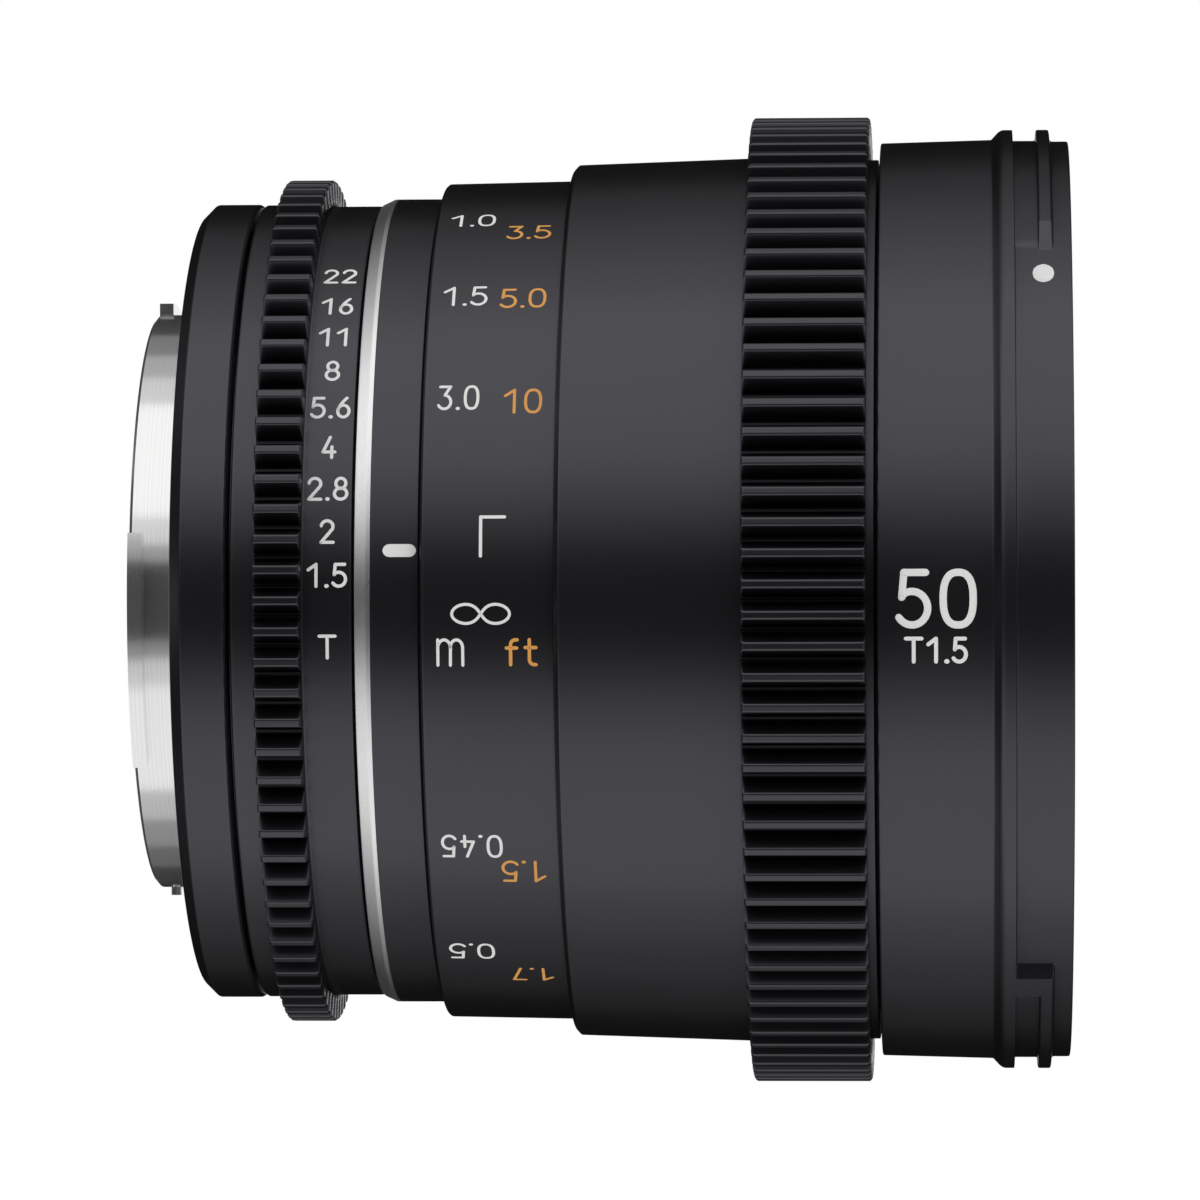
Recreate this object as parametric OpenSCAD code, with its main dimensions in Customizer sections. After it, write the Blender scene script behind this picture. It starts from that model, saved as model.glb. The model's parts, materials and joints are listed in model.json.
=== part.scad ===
// Cinema prime lens with geared focus and aperture rings.
// Lengths are in millimetres and angles in degrees. The origin is the centre of the flange face of the
// bayonet mount, +X points to the front of the lens and +Z is up. The scales face -Y.

/* [Bayonet mount] */
// Outer radius of the bayonet tube
bayonet_r = 25.1; // [24.6:0.1:25.6]
// Wall of the bayonet tube
bayonet_wall = 3.5; // [3:0.1:4]
// Reach of the bayonet behind the flange face
bayonet_reach = 4.3; // [4.2:0.1:5.4]
// Height of the bayonet lugs above the tube
lug_height = 1; // [0.7:0.1:1.4]
// Thickness of a bayonet lug along the axis
lug_thick = 1.2; // [0.8:0.1:1.6]
// Length of a bayonet lug round the tube
lug_arc = 45.5; // [30:0.5:60]
// Angle of the first lug above the level line of the marked side
lug_place = -10; // [-30:1:30]
// Thickness of the flange plate
flange_thick = 1.8; // [1.4:0.1:2.2]
// Shank radius of the screws of the mount
mount_screw_r = 0.8; // [0.6:0.1:1]
// Radius of the opening in the rear baffle
baffle_open_r = 16.5; // [15:0.5:18]
// Thickness of the rear baffle
baffle_thick = 1; // [0.6:0.1:1.4]

/* [Rear housing] */
// Wall of the tube that carries the aperture ring
carrier_wall = 2.05; // [1.8:0.05:2.4]
// Height of the rear housing above that tube
housing_height = 2.2; // [2:0.1:2.6]
// Bevel round the rear of the housing
housing_bevel = 1; // [0.6:0.1:1.4]
// Wall of the rim round the flange plate
rim_wall = 1.65; // [1.2:0.05:2]
// Place of the housing's front face ahead of the flange face
housing_front = 4.9; // [4.4:0.1:5.4]
// Setback of the housing rim from the flange face
rim_setback = 0.1; // [0.05:0.05:0.4]

/* [Aperture ring] */
// Width of the aperture ring
aperture_width = 10; // [9.5:0.1:11]
// Wall of the aperture ring under its scale
aperture_wall = 1.95; // [1.8:0.05:2.3]
// Width of the plain land behind the iris gear
aperture_land = 2.05; // [1.6:0.05:2.4]
// Width of the iris gear
iris_gear_width = 3.9; // [3.6:0.1:4.3]
// Bevel of the tooth tips at each end of the iris gear
iris_gear_bevel = 0.2; // [0.1:0.05:0.4]
// Height of the iris gear above the scale
iris_gear_height = 2.3; // [2.1:0.1:2.8]
// Turn of the aperture ring from wide open to fully closed
aperture_throw = 49.4; // [45:0.1:52]
// Part of that turn that lies before the drawn position
aperture_before = 3.5; // [2:0.5:6]

/* [Fixed rings] */
// Width of the bright accent ring
accent_width = 1.5; // [1:0.1:2]
// Width of the index ring
index_width = 3.9; // [3.6:0.1:5]
// Wall of the index ring
index_wall = 2.55; // [2.4:0.05:2.9]

/* [Focus ring] */
// Width of the distance scale ring
scale_width = 11.1; // [10:0.1:12]
// Wall of the distance scale ring
scale_wall = 1.75; // [1.5:0.05:2.1]
// Growth in radius along the distance scale ring
scale_taper = 0.2; // [0:0.05:0.4]
// Width of the smooth focus barrel
barrel_width = 15.5; // [15:0.1:17]
// Rise from the scale ring to the focus barrel
barrel_step = 1.4; // [1:0.1:1.8]
// Growth in radius along the focus barrel
barrel_taper = 0.5; // [0:0.05:0.8]
// Bevel at the rear edge of both focus rings
ring_bevel = 0.25; // [0.1:0.05:0.5]
// Width of the focus gear
focus_gear_width = 10.2; // [9.5:0.1:11.5]
// Bevel of the tooth tips at each end of the focus gear
focus_gear_bevel = 0.25; // [0.1:0.05:0.5]
// Height of the focus gear above the barrel
focus_gear_height = 3.5; // [3.2:0.1:4]
// Length of the barrel that shows ahead of the focus gear
focus_tail = 0.7; // [0.4:0.1:1]
// Module of both gears
gear_module = 0.8; // [0.8:0.1:1]

/* [Front barrel] */
// Length of the front barrel
front_len = 16.2; // [15.8:0.1:18]
// Height of the front barrel above the seat of the focus gear
front_height = 1.6; // [1.4:0.1:2]
// Growth in radius along the front barrel
front_taper = 0.25; // [0:0.05:0.4]
// Wall round the filter thread
front_wall = 1.8; // [1.5:0.1:2.2]
// Depth from the front edge to the trim ring's seat
trim_depth = 4.5; // [4:0.1:5]
// Place of the hood flange's front face behind the front edge
hood_flange_setback = 4.8; // [4.4:0.05:5.4]
// Height of the hood flange and lugs above the barrel
hood_height = 1.1; // [0.8:0.1:1.4]
// Width of the hood flange
hood_flange_width = 0.9; // [0.7:0.05:1.2]
// Width of the groove that takes the hood
hood_groove = 2.15; // [2:0.05:2.6]
// Width of a hood lug
hood_lug_width = 0.95; // [0.7:0.05:1.2]
// Length of a hood lug round the barrel
hood_lug_arc = 77; // [60:1:90]
// Angle where the first hood lug starts above the level line
hood_lug_place = 47; // [40:1:55]
// Length of the lead-in and of the stop of a hood lug
hood_end_arc = 3.5; // [2:0.5:6]

/* [Focus drive] */
// Outer radius of the sliding lens carriage
carriage_r = 28; // [27.5:0.1:28.4]
// Wall of the guide barrel
guide_wall = 2.35; // [2.1:0.05:2.6]
// Wall of the cam sleeve
sleeve_wall = 1.95; // [1.6:0.05:2.2]
// Turn of the focus ring between its stops
focus_throw = 144; // [120:1:150]
// Advance of the carriage for one full turn
cam_lead = 19; // [15:0.5:19]
// Radius of the cam follower rollers
roller_r = 1.5; // [1.2:0.1:1.6]
// Shank radius of the follower screws
follower_screw_r = 0.8; // [0.6:0.1:0.9]
// Place of the followers ahead of the flange face
follower_x = 48; // [47.5:0.1:48.6]
// Thickness of the flange of the cam sleeve
sleeve_flange = 2; // [1.6:0.1:2.4]
// Radius of the focus stop pin
stop_pin_r = 0.8; // [0.6:0.1:0.9]
// Thickness of the thrust washers
washer_thick = 0.4; // [0.3:0.05:0.5]

/* [Iris] */
// Place of the carriage's rear face ahead of the flange face
carriage_back = 28; // [27:0.1:28.5]
// Wall of the carriage round the iris
iris_wall = 1.8; // [1.6:0.1:2]
// Width of the blades' curved band
blade_band = 6.4; // [6:0.1:7.4]
// Radius of the aperture fully closed
iris_closed_r = 1.06; // [0.8:0.02:2]
// Thickness of an iris blade
blade_thick = 0.12; // [0.08:0.01:0.14]
// Step from one blade to the next along the axis
blade_pitch = 0.2; // [0.18:0.01:0.22]
// Length of the blade's curved band round the axis
blade_arc = 118; // [100:1:122]
// Distance from a blade's pivot pin to its drive pin
drive_arm = 4; // [3.6:0.1:4.4]
// Radius of the pivot pins
pivot_pin_r = 0.6; // [0.5:0.05:0.7]
// Radius of the drive pins
drive_pin_r = 0.5; // [0.4:0.05:0.6]
// Thickness of the iris cam ring
cam_ring_thick = 1.2; // [1:0.1:1.4]
// Thickness of the iris base plate
base_plate_thick = 1; // [0.8:0.1:1.2]
// Width of the iris drive finger
finger_w = 3; // [2.4:0.1:3.4]
// Thickness of the iris drive finger
finger_t = 1.4; // [1:0.1:1.6]
// Place of the finger's rear end ahead of the flange face
finger_back = 3.5; // [3:0.1:3.6]
// Length of the fork along the axis
fork_len = 3; // [2.5:0.1:3]

/* [Glass] */
// Length of the carriage ahead of its rear face
carriage_len = 26; // [25.5:0.1:26.2]
// Wall of the front cell round the front element
front_glass_wall = 5.3; // [5:0.1:6]
// Centre thickness of the front element
front_glass_t = 5.8; // [5.4:0.1:6.2]
// Height of the front element ahead of the carriage's front face
front_glass_lift = 6.6; // [6.2:0.1:6.8]
// Wall of the front cell round the doublet
doublet_wall = 3.95; // [3.2:0.05:4.8]
// Centre thickness of the doublet's front element
doublet_t = 8; // [7.5:0.1:8.5]
// Centre thickness of the doublet's hollow element
hollow_t = 2.5; // [2:0.1:3]
// Wall of the rear cell round the pair behind the iris
rear_glass_wall = 6; // [5.6:0.1:6.4]
// Step in radius from one rear group to the next
rear_glass_step = 0.9; // [0.7:0.05:1]
// Setback of the rear pair from the carriage's rear face
rear_glass_setback = 3.5; // [3.2:0.1:3.8]

/* [Fits] */
// Clearance of running fits
run_fit = 0.05; // [0.03:0.01:0.08]
// Clearance of fixed seats
seat_fit = 0.05; // [0.02:0.01:0.08]
// Clearance of a pin or roller in its slot, each side
slot_fit = 0.1; // [0.05:0.01:0.15]
// Gap between rings that turn against fixed ones
ring_gap = 0.2; // [0.15:0.05:0.4]
// Extra gap behind the aperture ring and the focus ring
wide_gap = 0.35; // [0.25:0.05:0.5]
// Clearance between moving pieces that don't guide each other
free_gap = 0.5; // [0.3:0.05:0.7]

/* [Hidden] */
$fn = 96;
arc_fn = 1440;
cut = 0.5;
edge_break = 0.25;
fine_break = 0.12;
mount_screws_n = 4;
follower_n = 3;
small_screw_r = 0.55;
screw_head = 0.7;
head_ratio = 1.6;
tap_fit = seat_fit / 5;
blade_n = 8;
drive_angle = 90;
black = [0.09, 0.09, 0.1];
dark_inner = [0.2, 0.2, 0.22];
bright = [0.86, 0.86, 0.87];
screw_steel = [0.55, 0.55, 0.57];
brass_tone = [0.72, 0.58, 0.3];
bearing_tone = [0.06, 0.06, 0.06];
glass_tone = [0.55, 0.65, 0.75, 0.5];

// Places along the axis, from the mount to the front edge
aperture_back = housing_front + wide_gap;
aperture_front = aperture_back + aperture_width;
accent_back = aperture_front + ring_gap;
accent_front = accent_back + accent_width;
index_front = accent_front + index_width;
carrier_end = accent_front + index_width / 2;
scale_back = index_front + wide_gap;
scale_front = scale_back + scale_width;
gear_back = scale_front + barrel_width;
gear_front = gear_back + focus_gear_width;
focus_front = gear_front + focus_tail;
front_back = focus_front + ring_gap;
front_end = front_back + front_len;
web_back = front_back + 2 * ring_gap;
web_thick = 2;
trim_seat = front_end - trim_depth;
trim_thick = 0.9;
trim_front = trim_seat + trim_thick;
relief_width = 0.6;
relief_depth = 0.4;
hood_flange_front = front_end - hood_flange_setback;
hood_lug_back = hood_flange_front + hood_groove;
spigot_back = index_front + washer_thick + run_fit;
baffle_lead = 0.4;
baffle_seat = baffle_thick + baffle_lead - bayonet_reach;
iris_gear_back = aperture_back + aperture_land;
iris_gear_front = iris_gear_back + iris_gear_width;

// Radii, from the carriage outwards
guide_bore_r = carriage_r + run_fit;
guide_r = guide_bore_r + guide_wall;
guide_mid_r = (guide_bore_r + guide_r) / 2;
carrier_bore_r = guide_r + seat_fit;
carrier_r = carrier_bore_r + carrier_wall;
housing_r = carrier_r + housing_height;
rim_r = housing_r - housing_bevel;
recess_r = rim_r - rim_wall;
flange_r = recess_r - seat_fit;
aperture_bore_r = carrier_r + run_fit;
aperture_r = aperture_bore_r + aperture_wall;
index_bore_r = carrier_r + seat_fit;
index_r = index_bore_r + index_wall;
sleeve_bore_r = guide_r + run_fit;
sleeve_r = sleeve_bore_r + sleeve_wall;
spigot_bore_r = sleeve_r + free_gap;
spigot_wall = 1.7;
spigot_r = spigot_bore_r + spigot_wall;
scale_bore_r = spigot_r + seat_fit;
scale_r = scale_bore_r + scale_wall;
scale_front_r = scale_r + scale_taper;
barrel_r = scale_front_r + barrel_step;
barrel_front_r = barrel_r + barrel_taper;
gear_seat_step = 0.2;
gear_seat_r = barrel_front_r - gear_seat_step;
front_r = gear_seat_r + front_height;
crest_r = front_r + hood_height;
groove_rise = 0.2;
groove_r = front_r + groove_rise;
filter_r = front_r - front_wall;
trim_step = 1;
trim_bore_r = filter_r - trim_step;
trim_lip = 1.2;
throat_r = bayonet_r - bayonet_wall;
lug_r = bayonet_r + lug_height;
baffle_step = 0.6;
baffle_seat_r = throat_r + baffle_step;

// Fasteners and pins
mount_circle = (bayonet_r + flange_r) / 2;
mount_screw_first = 45;
mount_screw_len = 3.9;
countersink = 0.15;
cross_w = 0.3;
cross_depth = 0.6;
pin_place = lug_thick - bayonet_reach;
pin_depth = 1.5;
pin_seat_r = bayonet_r - pin_depth;
pin_r = 0.5;
pin_proud = 0.7;
guide_screw_len = 4;
guide_screw_head = 1;
index_screw_first = 20;
index_screw_circle = (carrier_bore_r + carrier_r) / 2;
index_screw_len = 3;
front_screw_len = 3.5;
sleeve_screw_len = 4;

// Gears: as many teeth of the given module as their height allows
function teeth_for(tip_r) = round(2 * tip_r / gear_module - 2);
focus_teeth = teeth_for(barrel_front_r + focus_gear_height);
iris_teeth = teeth_for(aperture_r + iris_gear_height);
function tip_radius(teeth) = gear_module * (teeth + 2) / 2;
function root_radius(teeth) = gear_module * (teeth - 2.5) / 2;
pressure_angle = 20;
land_rise = 0.15;

// Focus drive
focus_travel = cam_lead * focus_throw / 360;
slot_half = roller_r + slot_fit;
sleeve_back = index_front + 2 * wide_gap;
sleeve_front = web_back - washer_thick - run_fit;
slot_margin = 1.4;
sleeve_flange_front = follower_x - slot_half - slot_margin;
sleeve_seat = sleeve_flange_front - sleeve_flange;
sleeve_flange_height = 3.6;
sleeve_flange_r = sleeve_r + sleeve_flange_height;
sleeve_screw_circle = (spigot_bore_r + sleeve_flange_r) / 2;
drum_bore_r = sleeve_flange_r + seat_fit;
sleeve_mid_r = (sleeve_bore_r + sleeve_r) / 2;
stop_pin_reach = 2;
stop_pin_place = 250;
roller_end_r = sleeve_r + slot_fit;
follower_depth = 3;
follower_root_r = carriage_r - follower_depth;
cam_steps = 30;
cam_overrun = asin(slot_half / sleeve_mid_r);

// Iris: the drive pin swings evenly to both sides of the tangent as the blades close
iris_bore_r = carriage_r - iris_wall;
cam_ring_r = iris_bore_r - run_fit;
iris_gap = 0.15;
pivot_inset = 2.95;
pivot_r = cam_ring_r - pivot_inset;
blade_inset = 1.2;
blade_r = pivot_r - blade_inset;
iris_open_r = blade_r - blade_band;
blade_heel = -8;
blade_steps = 4;
ear_from = -5;
ear_to = 14;
ear_margin = 0.6;
blade_swing = 2 * asin((iris_open_r - iris_closed_r) / (2 * pivot_r));
blade_ratio = blade_swing / aperture_throw;
iris_depth = 4.2;
iris_front = carriage_back + iris_depth;
plate_lip = 0.6;
plate_bore_r = iris_open_r + plate_lip;
cam_back = carriage_back + iris_gap;
cam_front = cam_back + cam_ring_thick;
plate_back = iris_front - base_plate_thick;
blade_back = cam_front + iris_gap;
finger_out_r = cam_ring_r - iris_gap;
finger_in_r = finger_out_r - finger_t;
finger_half = asin(finger_w / 2 / finger_in_r);
fork_slot_half = asin((finger_w / 2 + slot_fit) / finger_in_r);
fork_cheek = 4;
fork_half = fork_slot_half + fork_cheek;
fork_setback = 1.1;
fork_front = aperture_front - fork_setback;
fork_back = fork_front - fork_len;
fork_bite = 1.3;
fork_top_r = aperture_bore_r + fork_bite;
fork_room = 0.4;
fork_slot_r = finger_out_r + fork_room;
fork_screw_r = 0.5;
fork_screw_spread = 3.5;
fork_screw_circle = (aperture_bore_r + fork_top_r) / 2;
fork_tap = 0.8;
finger_room = 0.6;
cell_r = finger_in_r - finger_room;
web_bore_r = finger_out_r + 2 * free_gap;
window_margin = 1.5;
finger_gap = 0.25;
function drive_pin_at(swing) = [pivot_r + drive_arm * sin(blade_swing / 2 - swing),
                                drive_arm * cos(blade_swing / 2 - swing)];
function turned_by(p, a) = [p[0] * cos(a) - p[1] * sin(a), p[0] * sin(a) + p[1] * cos(a)];
blade_rest = blade_ratio * aperture_before;
track_steps = 14;
track_over = 2.5;
track_nudge = 0.1;
function track_point(turn) = turned_by(drive_pin_at(blade_ratio * (turn + aperture_before)), -turn);

// Glass: a positive curve bulges towards the front
function sag(curve, r) = sign(curve) * (abs(curve) - sqrt(curve * curve - r * r));
function surface_x(x, curve, r) = x - sag(curve, r);
cement = 0.02;
glass_fit = 0.05;
carriage_front = carriage_back + carriage_len;
carriage_wall = 4;
carriage_bore_r = carriage_r - carriage_wall;
cell_flange_r = carriage_r - 2 * run_fit;
front_glass_r = cell_flange_r - front_glass_wall;
doublet_r = carriage_bore_r - seat_fit - doublet_wall;
rear_glass_r = cell_r - rear_glass_wall;
cell_screw_circle = (iris_bore_r + carriage_r) / 2;
cell_screw_len = 3;
front_curve = 46;
front_back_curve = 160;
doublet_curve = 42;
cement_curve = -300;
hollow_curve = 30;
front_x = carriage_front + front_glass_lift;
front_back_x = front_x - front_glass_t;
front_seat = surface_x(front_back_x, front_back_curve, front_glass_r) - cement;
air_gap = 0.6;
doublet_x = front_back_x - air_gap;
doublet_back_x = doublet_x - doublet_t;
hollow_x = doublet_back_x - cement;
hollow_back_x = hollow_x - hollow_t;
hollow_edge = surface_x(hollow_back_x, hollow_curve, doublet_r);
doublet_lip = 1.2;
doublet_lip_r = doublet_r - doublet_lip;
doublet_seat = surface_x(doublet_x, doublet_curve, doublet_lip_r) + cement;
cell_lead = 0.7;
front_cell_front = front_x + cell_lead;
cell_tail = 2;
front_cell_back = hollow_edge - cell_tail;
retainer_lip = 1.7;
retainer_in_r = front_glass_r - retainer_lip;
retainer_back = surface_x(front_x, front_curve, retainer_in_r) + cement;
retainer_width = 1.8;
retainer_bevel = 0.8;
third_r = rear_glass_r - rear_glass_step;
fourth_r = third_r - rear_glass_step;
fifth_r = fourth_r - rear_glass_step;
e4_t = 1.6;
e5_t = 8;
e6_t = 6;
e7_t = 1.4;
e8_t = 4.2;
e9_t = 3.6;
e4_x = carriage_back - rear_glass_setback;
e4_back = e4_x - e4_t;
e5_x = e4_back - cement;
e5_back = e5_x - e5_t;
e6_x = e5_back - air_gap;
e6_back = e6_x - e6_t;
e7_x = e6_back - cement;
e7_back = e7_x - e7_t;
e8_x = e7_back - air_gap;
e8_back = e8_x - e8_t;
e9_x = e8_back - air_gap;
e9_back = e9_x - e9_t;
e4_curve = -60;
e5_curve = 60;
e5_back_curve = -40;
e6_curve = 60;
e7_curve = -60;
e7_back_curve = 150;
e8_curve = 80;
e9_curve = 100;
e9_back_curve = -120;
rear_lip = 1;
lip_r = fifth_r - rear_lip;
seat_5 = surface_x(e5_back, e5_back_curve, third_r + glass_fit) - cement;
seat_7 = surface_x(e7_back, e7_back_curve, third_r) - cement;
seat_8 = surface_x(e8_back, -e8_curve, fifth_r + glass_fit) - cement;
seat_9 = surface_x(e9_back, e9_back_curve, lip_r) - cement;
nose_lead = 0.5;
nose_back = e9_back - nose_lead;
nose_gap = 1;
nose_r = throat_r - nose_gap;
nose_front = flange_thick + free_gap;
cell_flange = 1.2;
cell_flange_back = carriage_back - cell_flange;
spacer_wall = 1.1;
spacer_in_r = third_r - spacer_wall;

// Lays a piece drawn about the local Z axis along the optical axis
module along_axis() {
  rotate([90, 0, 90]) children();
}

// Angle about the optical axis of a place that many degrees above the level line of the marked side
function marked_side(above) = 180 - above;

module turned(profile) {
  rotate_extrude() polygon(profile);
}

module tube(r_in, r_out, from, to) {
  turned([[r_in, from], [r_out, from], [r_out, to], [r_in, to]]);
}

// A stretch of ring between two angles
module arc_block(r_in, r_out, from, to, start, arc) {
  rotate([0, 0, start]) rotate_extrude(angle = arc) translate([r_in, from]) square([r_out - r_in, to - from]);
}

module around(count, first = 0) {
  for (i = [0 : count - 1]) rotate([0, 0, first + 360 * i / count]) children();
}

// A round bar along the axis at a given distance from it
module bar(circle_r, r, from, to) {
  translate([circle_r, 0, from]) cylinder(r = r, h = to - from);
}

// A round bar that points straight out from the axis
module spoke(r, from, to, place) {
  translate([0, 0, place]) rotate([0, 90, 0]) translate([0, 0, from]) cylinder(r = r, h = to - from);
}

// A cheese-head screw along the axis, its head ahead of the seat
module screw(circle_r, r, seat, depth) {
  bar(circle_r, r, seat - depth, seat);
  bar(circle_r, head_ratio * r, seat, seat + screw_head);
}

// A ring of straight-sided teeth with their tips bevelled at both ends
module gear_teeth(teeth, low_r, bevel, from, to) {
  tip_r = tip_radius(teeth);
  tip_half = (PI / 4 - tan(pressure_angle)) * gear_module / tip_r * 180 / PI;
  root_half = (PI / 4 + 1.25 * tan(pressure_angle)) * gear_module / root_radius(teeth) * 180 / PI;
  corners = [[root_radius(teeth), -root_half], [tip_r, -tip_half],
             [tip_r, tip_half], [root_radius(teeth), root_half]];
  outline = [for (i = [0 : teeth - 1]) for (c = corners)
    [c[0] * cos(360 * i / teeth + c[1]), c[0] * sin(360 * i / teeth + c[1])]];
  intersection() {
    translate([0, 0, from - cut]) linear_extrude(height = to - from + 2 * cut) polygon(outline);
    turned([[low_r, from], [tip_r - bevel, from], [tip_r + cut, from + bevel + cut],
      [tip_r + cut, to - bevel - cut], [tip_r - bevel, to], [low_r, to]]);
  }
}

// A lens element: the half section between two arcs, turned about the axis
module lens(edge_r, x, curve, back_x, back_curve) {
  low = back_x - edge_r;
  rotate_extrude() difference() {
    intersection() {
      translate([0, low]) square([edge_r, x + edge_r - low]);
      if (curve > 0) glass_arc(x, curve);
      if (back_curve < 0) glass_arc(back_x, back_curve);
    }
    if (curve < 0) glass_arc(x, curve);
    if (back_curve > 0) glass_arc(back_x, back_curve);
  }
}

module glass_arc(x, curve) {
  translate([0, x - curve]) circle(r = abs(curve), $fn = arc_fn);
}

// Mount, rear housing and the fixed barrel

module bayonet_mount() {
  color(bright) along_axis() difference() {
    union() {
      turned([[throat_r, edge_break - bayonet_reach], [throat_r + edge_break, -bayonet_reach],
        [bayonet_r - edge_break, -bayonet_reach], [bayonet_r, edge_break - bayonet_reach],
        [bayonet_r, 0], [flange_r, 0], [flange_r, flange_thick], [throat_r, flange_thick]]);
      for (i = [0 : 2])
        arc_block(bayonet_r - lug_height, lug_r, -bayonet_reach, lug_thick - bayonet_reach,
          marked_side(lug_place + 120 * i) - lug_arc / 2, lug_arc);
    }
    around(mount_screws_n, mount_screw_first) {
      bar(mount_circle, mount_screw_r + seat_fit, -cut, flange_thick + cut);
      translate([mount_circle, 0, -cut]) cylinder(r = 2 * mount_screw_r + seat_fit, h = cut + countersink);
      translate([mount_circle, 0, countersink])
        cylinder(r1 = 2 * mount_screw_r + seat_fit, r2 = mount_screw_r + seat_fit, h = mount_screw_r);
    }
    rotate([0, 0, -90]) spoke(pin_r, pin_seat_r, lug_r + cut, pin_place);
    tube(throat_r - cut, baffle_seat_r, -bayonet_reach - cut, baffle_seat);
  }
}

module bayonet_stop_pin() {
  color(bright) along_axis() rotate([0, 0, -90]) spoke(pin_r, pin_seat_r, bayonet_r + pin_proud, pin_place);
}

module mount_screws() {
  color(screw_steel) along_axis() around(mount_screws_n, mount_screw_first) translate([mount_circle, 0, 0])
    difference() {
      union() {
        translate([0, 0, countersink])
          cylinder(r1 = 2 * mount_screw_r, r2 = mount_screw_r, h = mount_screw_r);
        translate([0, 0, countersink]) cylinder(r = mount_screw_r, h = mount_screw_len);
      }
      for (turn = [0, 90]) rotate([0, 0, turn])
        cube([2 * mount_screw_r, cross_w, 2 * cross_depth], center = true);
    }
}

module rear_baffle() {
  rim_r = baffle_seat_r - seat_fit;
  back = baffle_seat - baffle_thick;
  color(black) along_axis() turned([[baffle_open_r, back + edge_break],
    [baffle_open_r + 3 * edge_break, back], [rim_r, back], [rim_r, baffle_seat],
    [baffle_open_r, baffle_seat]]);
}

// Arc swept by the iris fork or finger, with room at both ends
module swept_window(r_in, r_out, from, to, half) {
  arc_block(r_in, r_out, from, to, drive_angle - half - aperture_before - window_margin,
    2 * half + aperture_throw + 2 * window_margin);
}

module rear_housing() {
  color(black) along_axis() difference() {
    turned([[recess_r, rim_setback], [rim_r, rim_setback], [housing_r, rim_setback + housing_bevel],
      [housing_r, housing_front - edge_break], [housing_r - edge_break, housing_front],
      [carrier_r, housing_front], [carrier_r, carrier_end], [carrier_bore_r, carrier_end],
      [carrier_bore_r, housing_front], [web_bore_r, housing_front], [web_bore_r, flange_thick],
      [recess_r, flange_thick]]);
    around(mount_screws_n, mount_screw_first) bar(mount_circle, mount_screw_r + tap_fit, 0,
      housing_front - edge_break);
    around(follower_n) {
      bar(guide_mid_r, small_screw_r + seat_fit, 0, housing_front + cut);
      bar(guide_mid_r, head_ratio * small_screw_r + seat_fit, 0, flange_thick + guide_screw_head);
    }
    around(follower_n, index_screw_first) bar(index_screw_circle, small_screw_r + tap_fit,
      carrier_end - index_screw_len - cut, carrier_end + cut);
    swept_window(carrier_bore_r - cut, carrier_r + cut, fork_back - free_gap, fork_front + free_gap,
      fork_half);
  }
}

module guide_barrel() {
  color(dark_inner) along_axis() difference() {
    tube(guide_bore_r, guide_r, housing_front, web_back);
    around(follower_n, drive_angle) {
      spoke(slot_half, guide_bore_r - cut, guide_r + cut, follower_x);
      spoke(slot_half, guide_bore_r - cut, guide_r + cut, follower_x + focus_travel);
      translate([guide_bore_r - cut, -slot_half, follower_x])
        cube([guide_wall + 2 * cut, 2 * slot_half, focus_travel]);
    }
    around(follower_n) bar(guide_mid_r, small_screw_r + tap_fit, housing_front - cut,
      housing_front + guide_screw_len);
    around(mount_screws_n, mount_screw_first) bar(guide_mid_r, small_screw_r + tap_fit,
      web_back - guide_screw_len - cut, web_back + cut);
    swept_window(guide_bore_r - cut, guide_r + cut, fork_back - free_gap, fork_front + free_gap, fork_half);
  }
}

module guide_screws() {
  seat = flange_thick + guide_screw_head;
  color(screw_steel) along_axis() around(follower_n) {
    bar(guide_mid_r, small_screw_r, seat, housing_front + guide_screw_len - cut);
    bar(guide_mid_r, head_ratio * small_screw_r, seat - screw_head, seat);
  }
}

module accent_ring() {
  color(bright) along_axis() turned([[index_bore_r, accent_back], [aperture_r, accent_back],
    [index_r, accent_back + accent_width / 2], [index_r, accent_front], [index_bore_r, accent_front]]);
}

module index_ring() {
  color(black) along_axis() difference() {
    turned([[index_bore_r, accent_front], [index_r, accent_front], [index_r, index_front - edge_break],
      [index_r - edge_break, index_front], [carrier_bore_r, index_front], [carrier_bore_r, carrier_end],
      [index_bore_r, carrier_end]]);
    around(follower_n, index_screw_first) {
      bar(index_screw_circle, small_screw_r + seat_fit, carrier_end - cut, index_front + cut);
      bar(index_screw_circle, head_ratio * small_screw_r + seat_fit, index_front - screw_head - seat_fit,
        index_front + cut);
    }
    rotate([0, 0, stop_pin_place]) bar(sleeve_mid_r, stop_pin_r + tap_fit, carrier_end - cut,
      index_front + cut);
  }
}

module index_screws() {
  color(screw_steel) along_axis() around(follower_n, index_screw_first)
    screw(index_screw_circle, small_screw_r, index_front - screw_head - seat_fit, index_screw_len);
}

module focus_stop_pin() {
  color(screw_steel) along_axis() rotate([0, 0, stop_pin_place])
    bar(sleeve_mid_r, stop_pin_r, carrier_end, index_front + stop_pin_reach);
}

module rear_thrust_washer() {
  color(bearing_tone) along_axis()
    tube(spigot_bore_r, spigot_r - seat_fit, index_front, index_front + washer_thick);
}

module front_thrust_washer() {
  color(bearing_tone) along_axis()
    tube(sleeve_bore_r + seat_fit, sleeve_r - seat_fit, web_back - washer_thick, web_back);
}

// Front barrel with the hood bayonet

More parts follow.
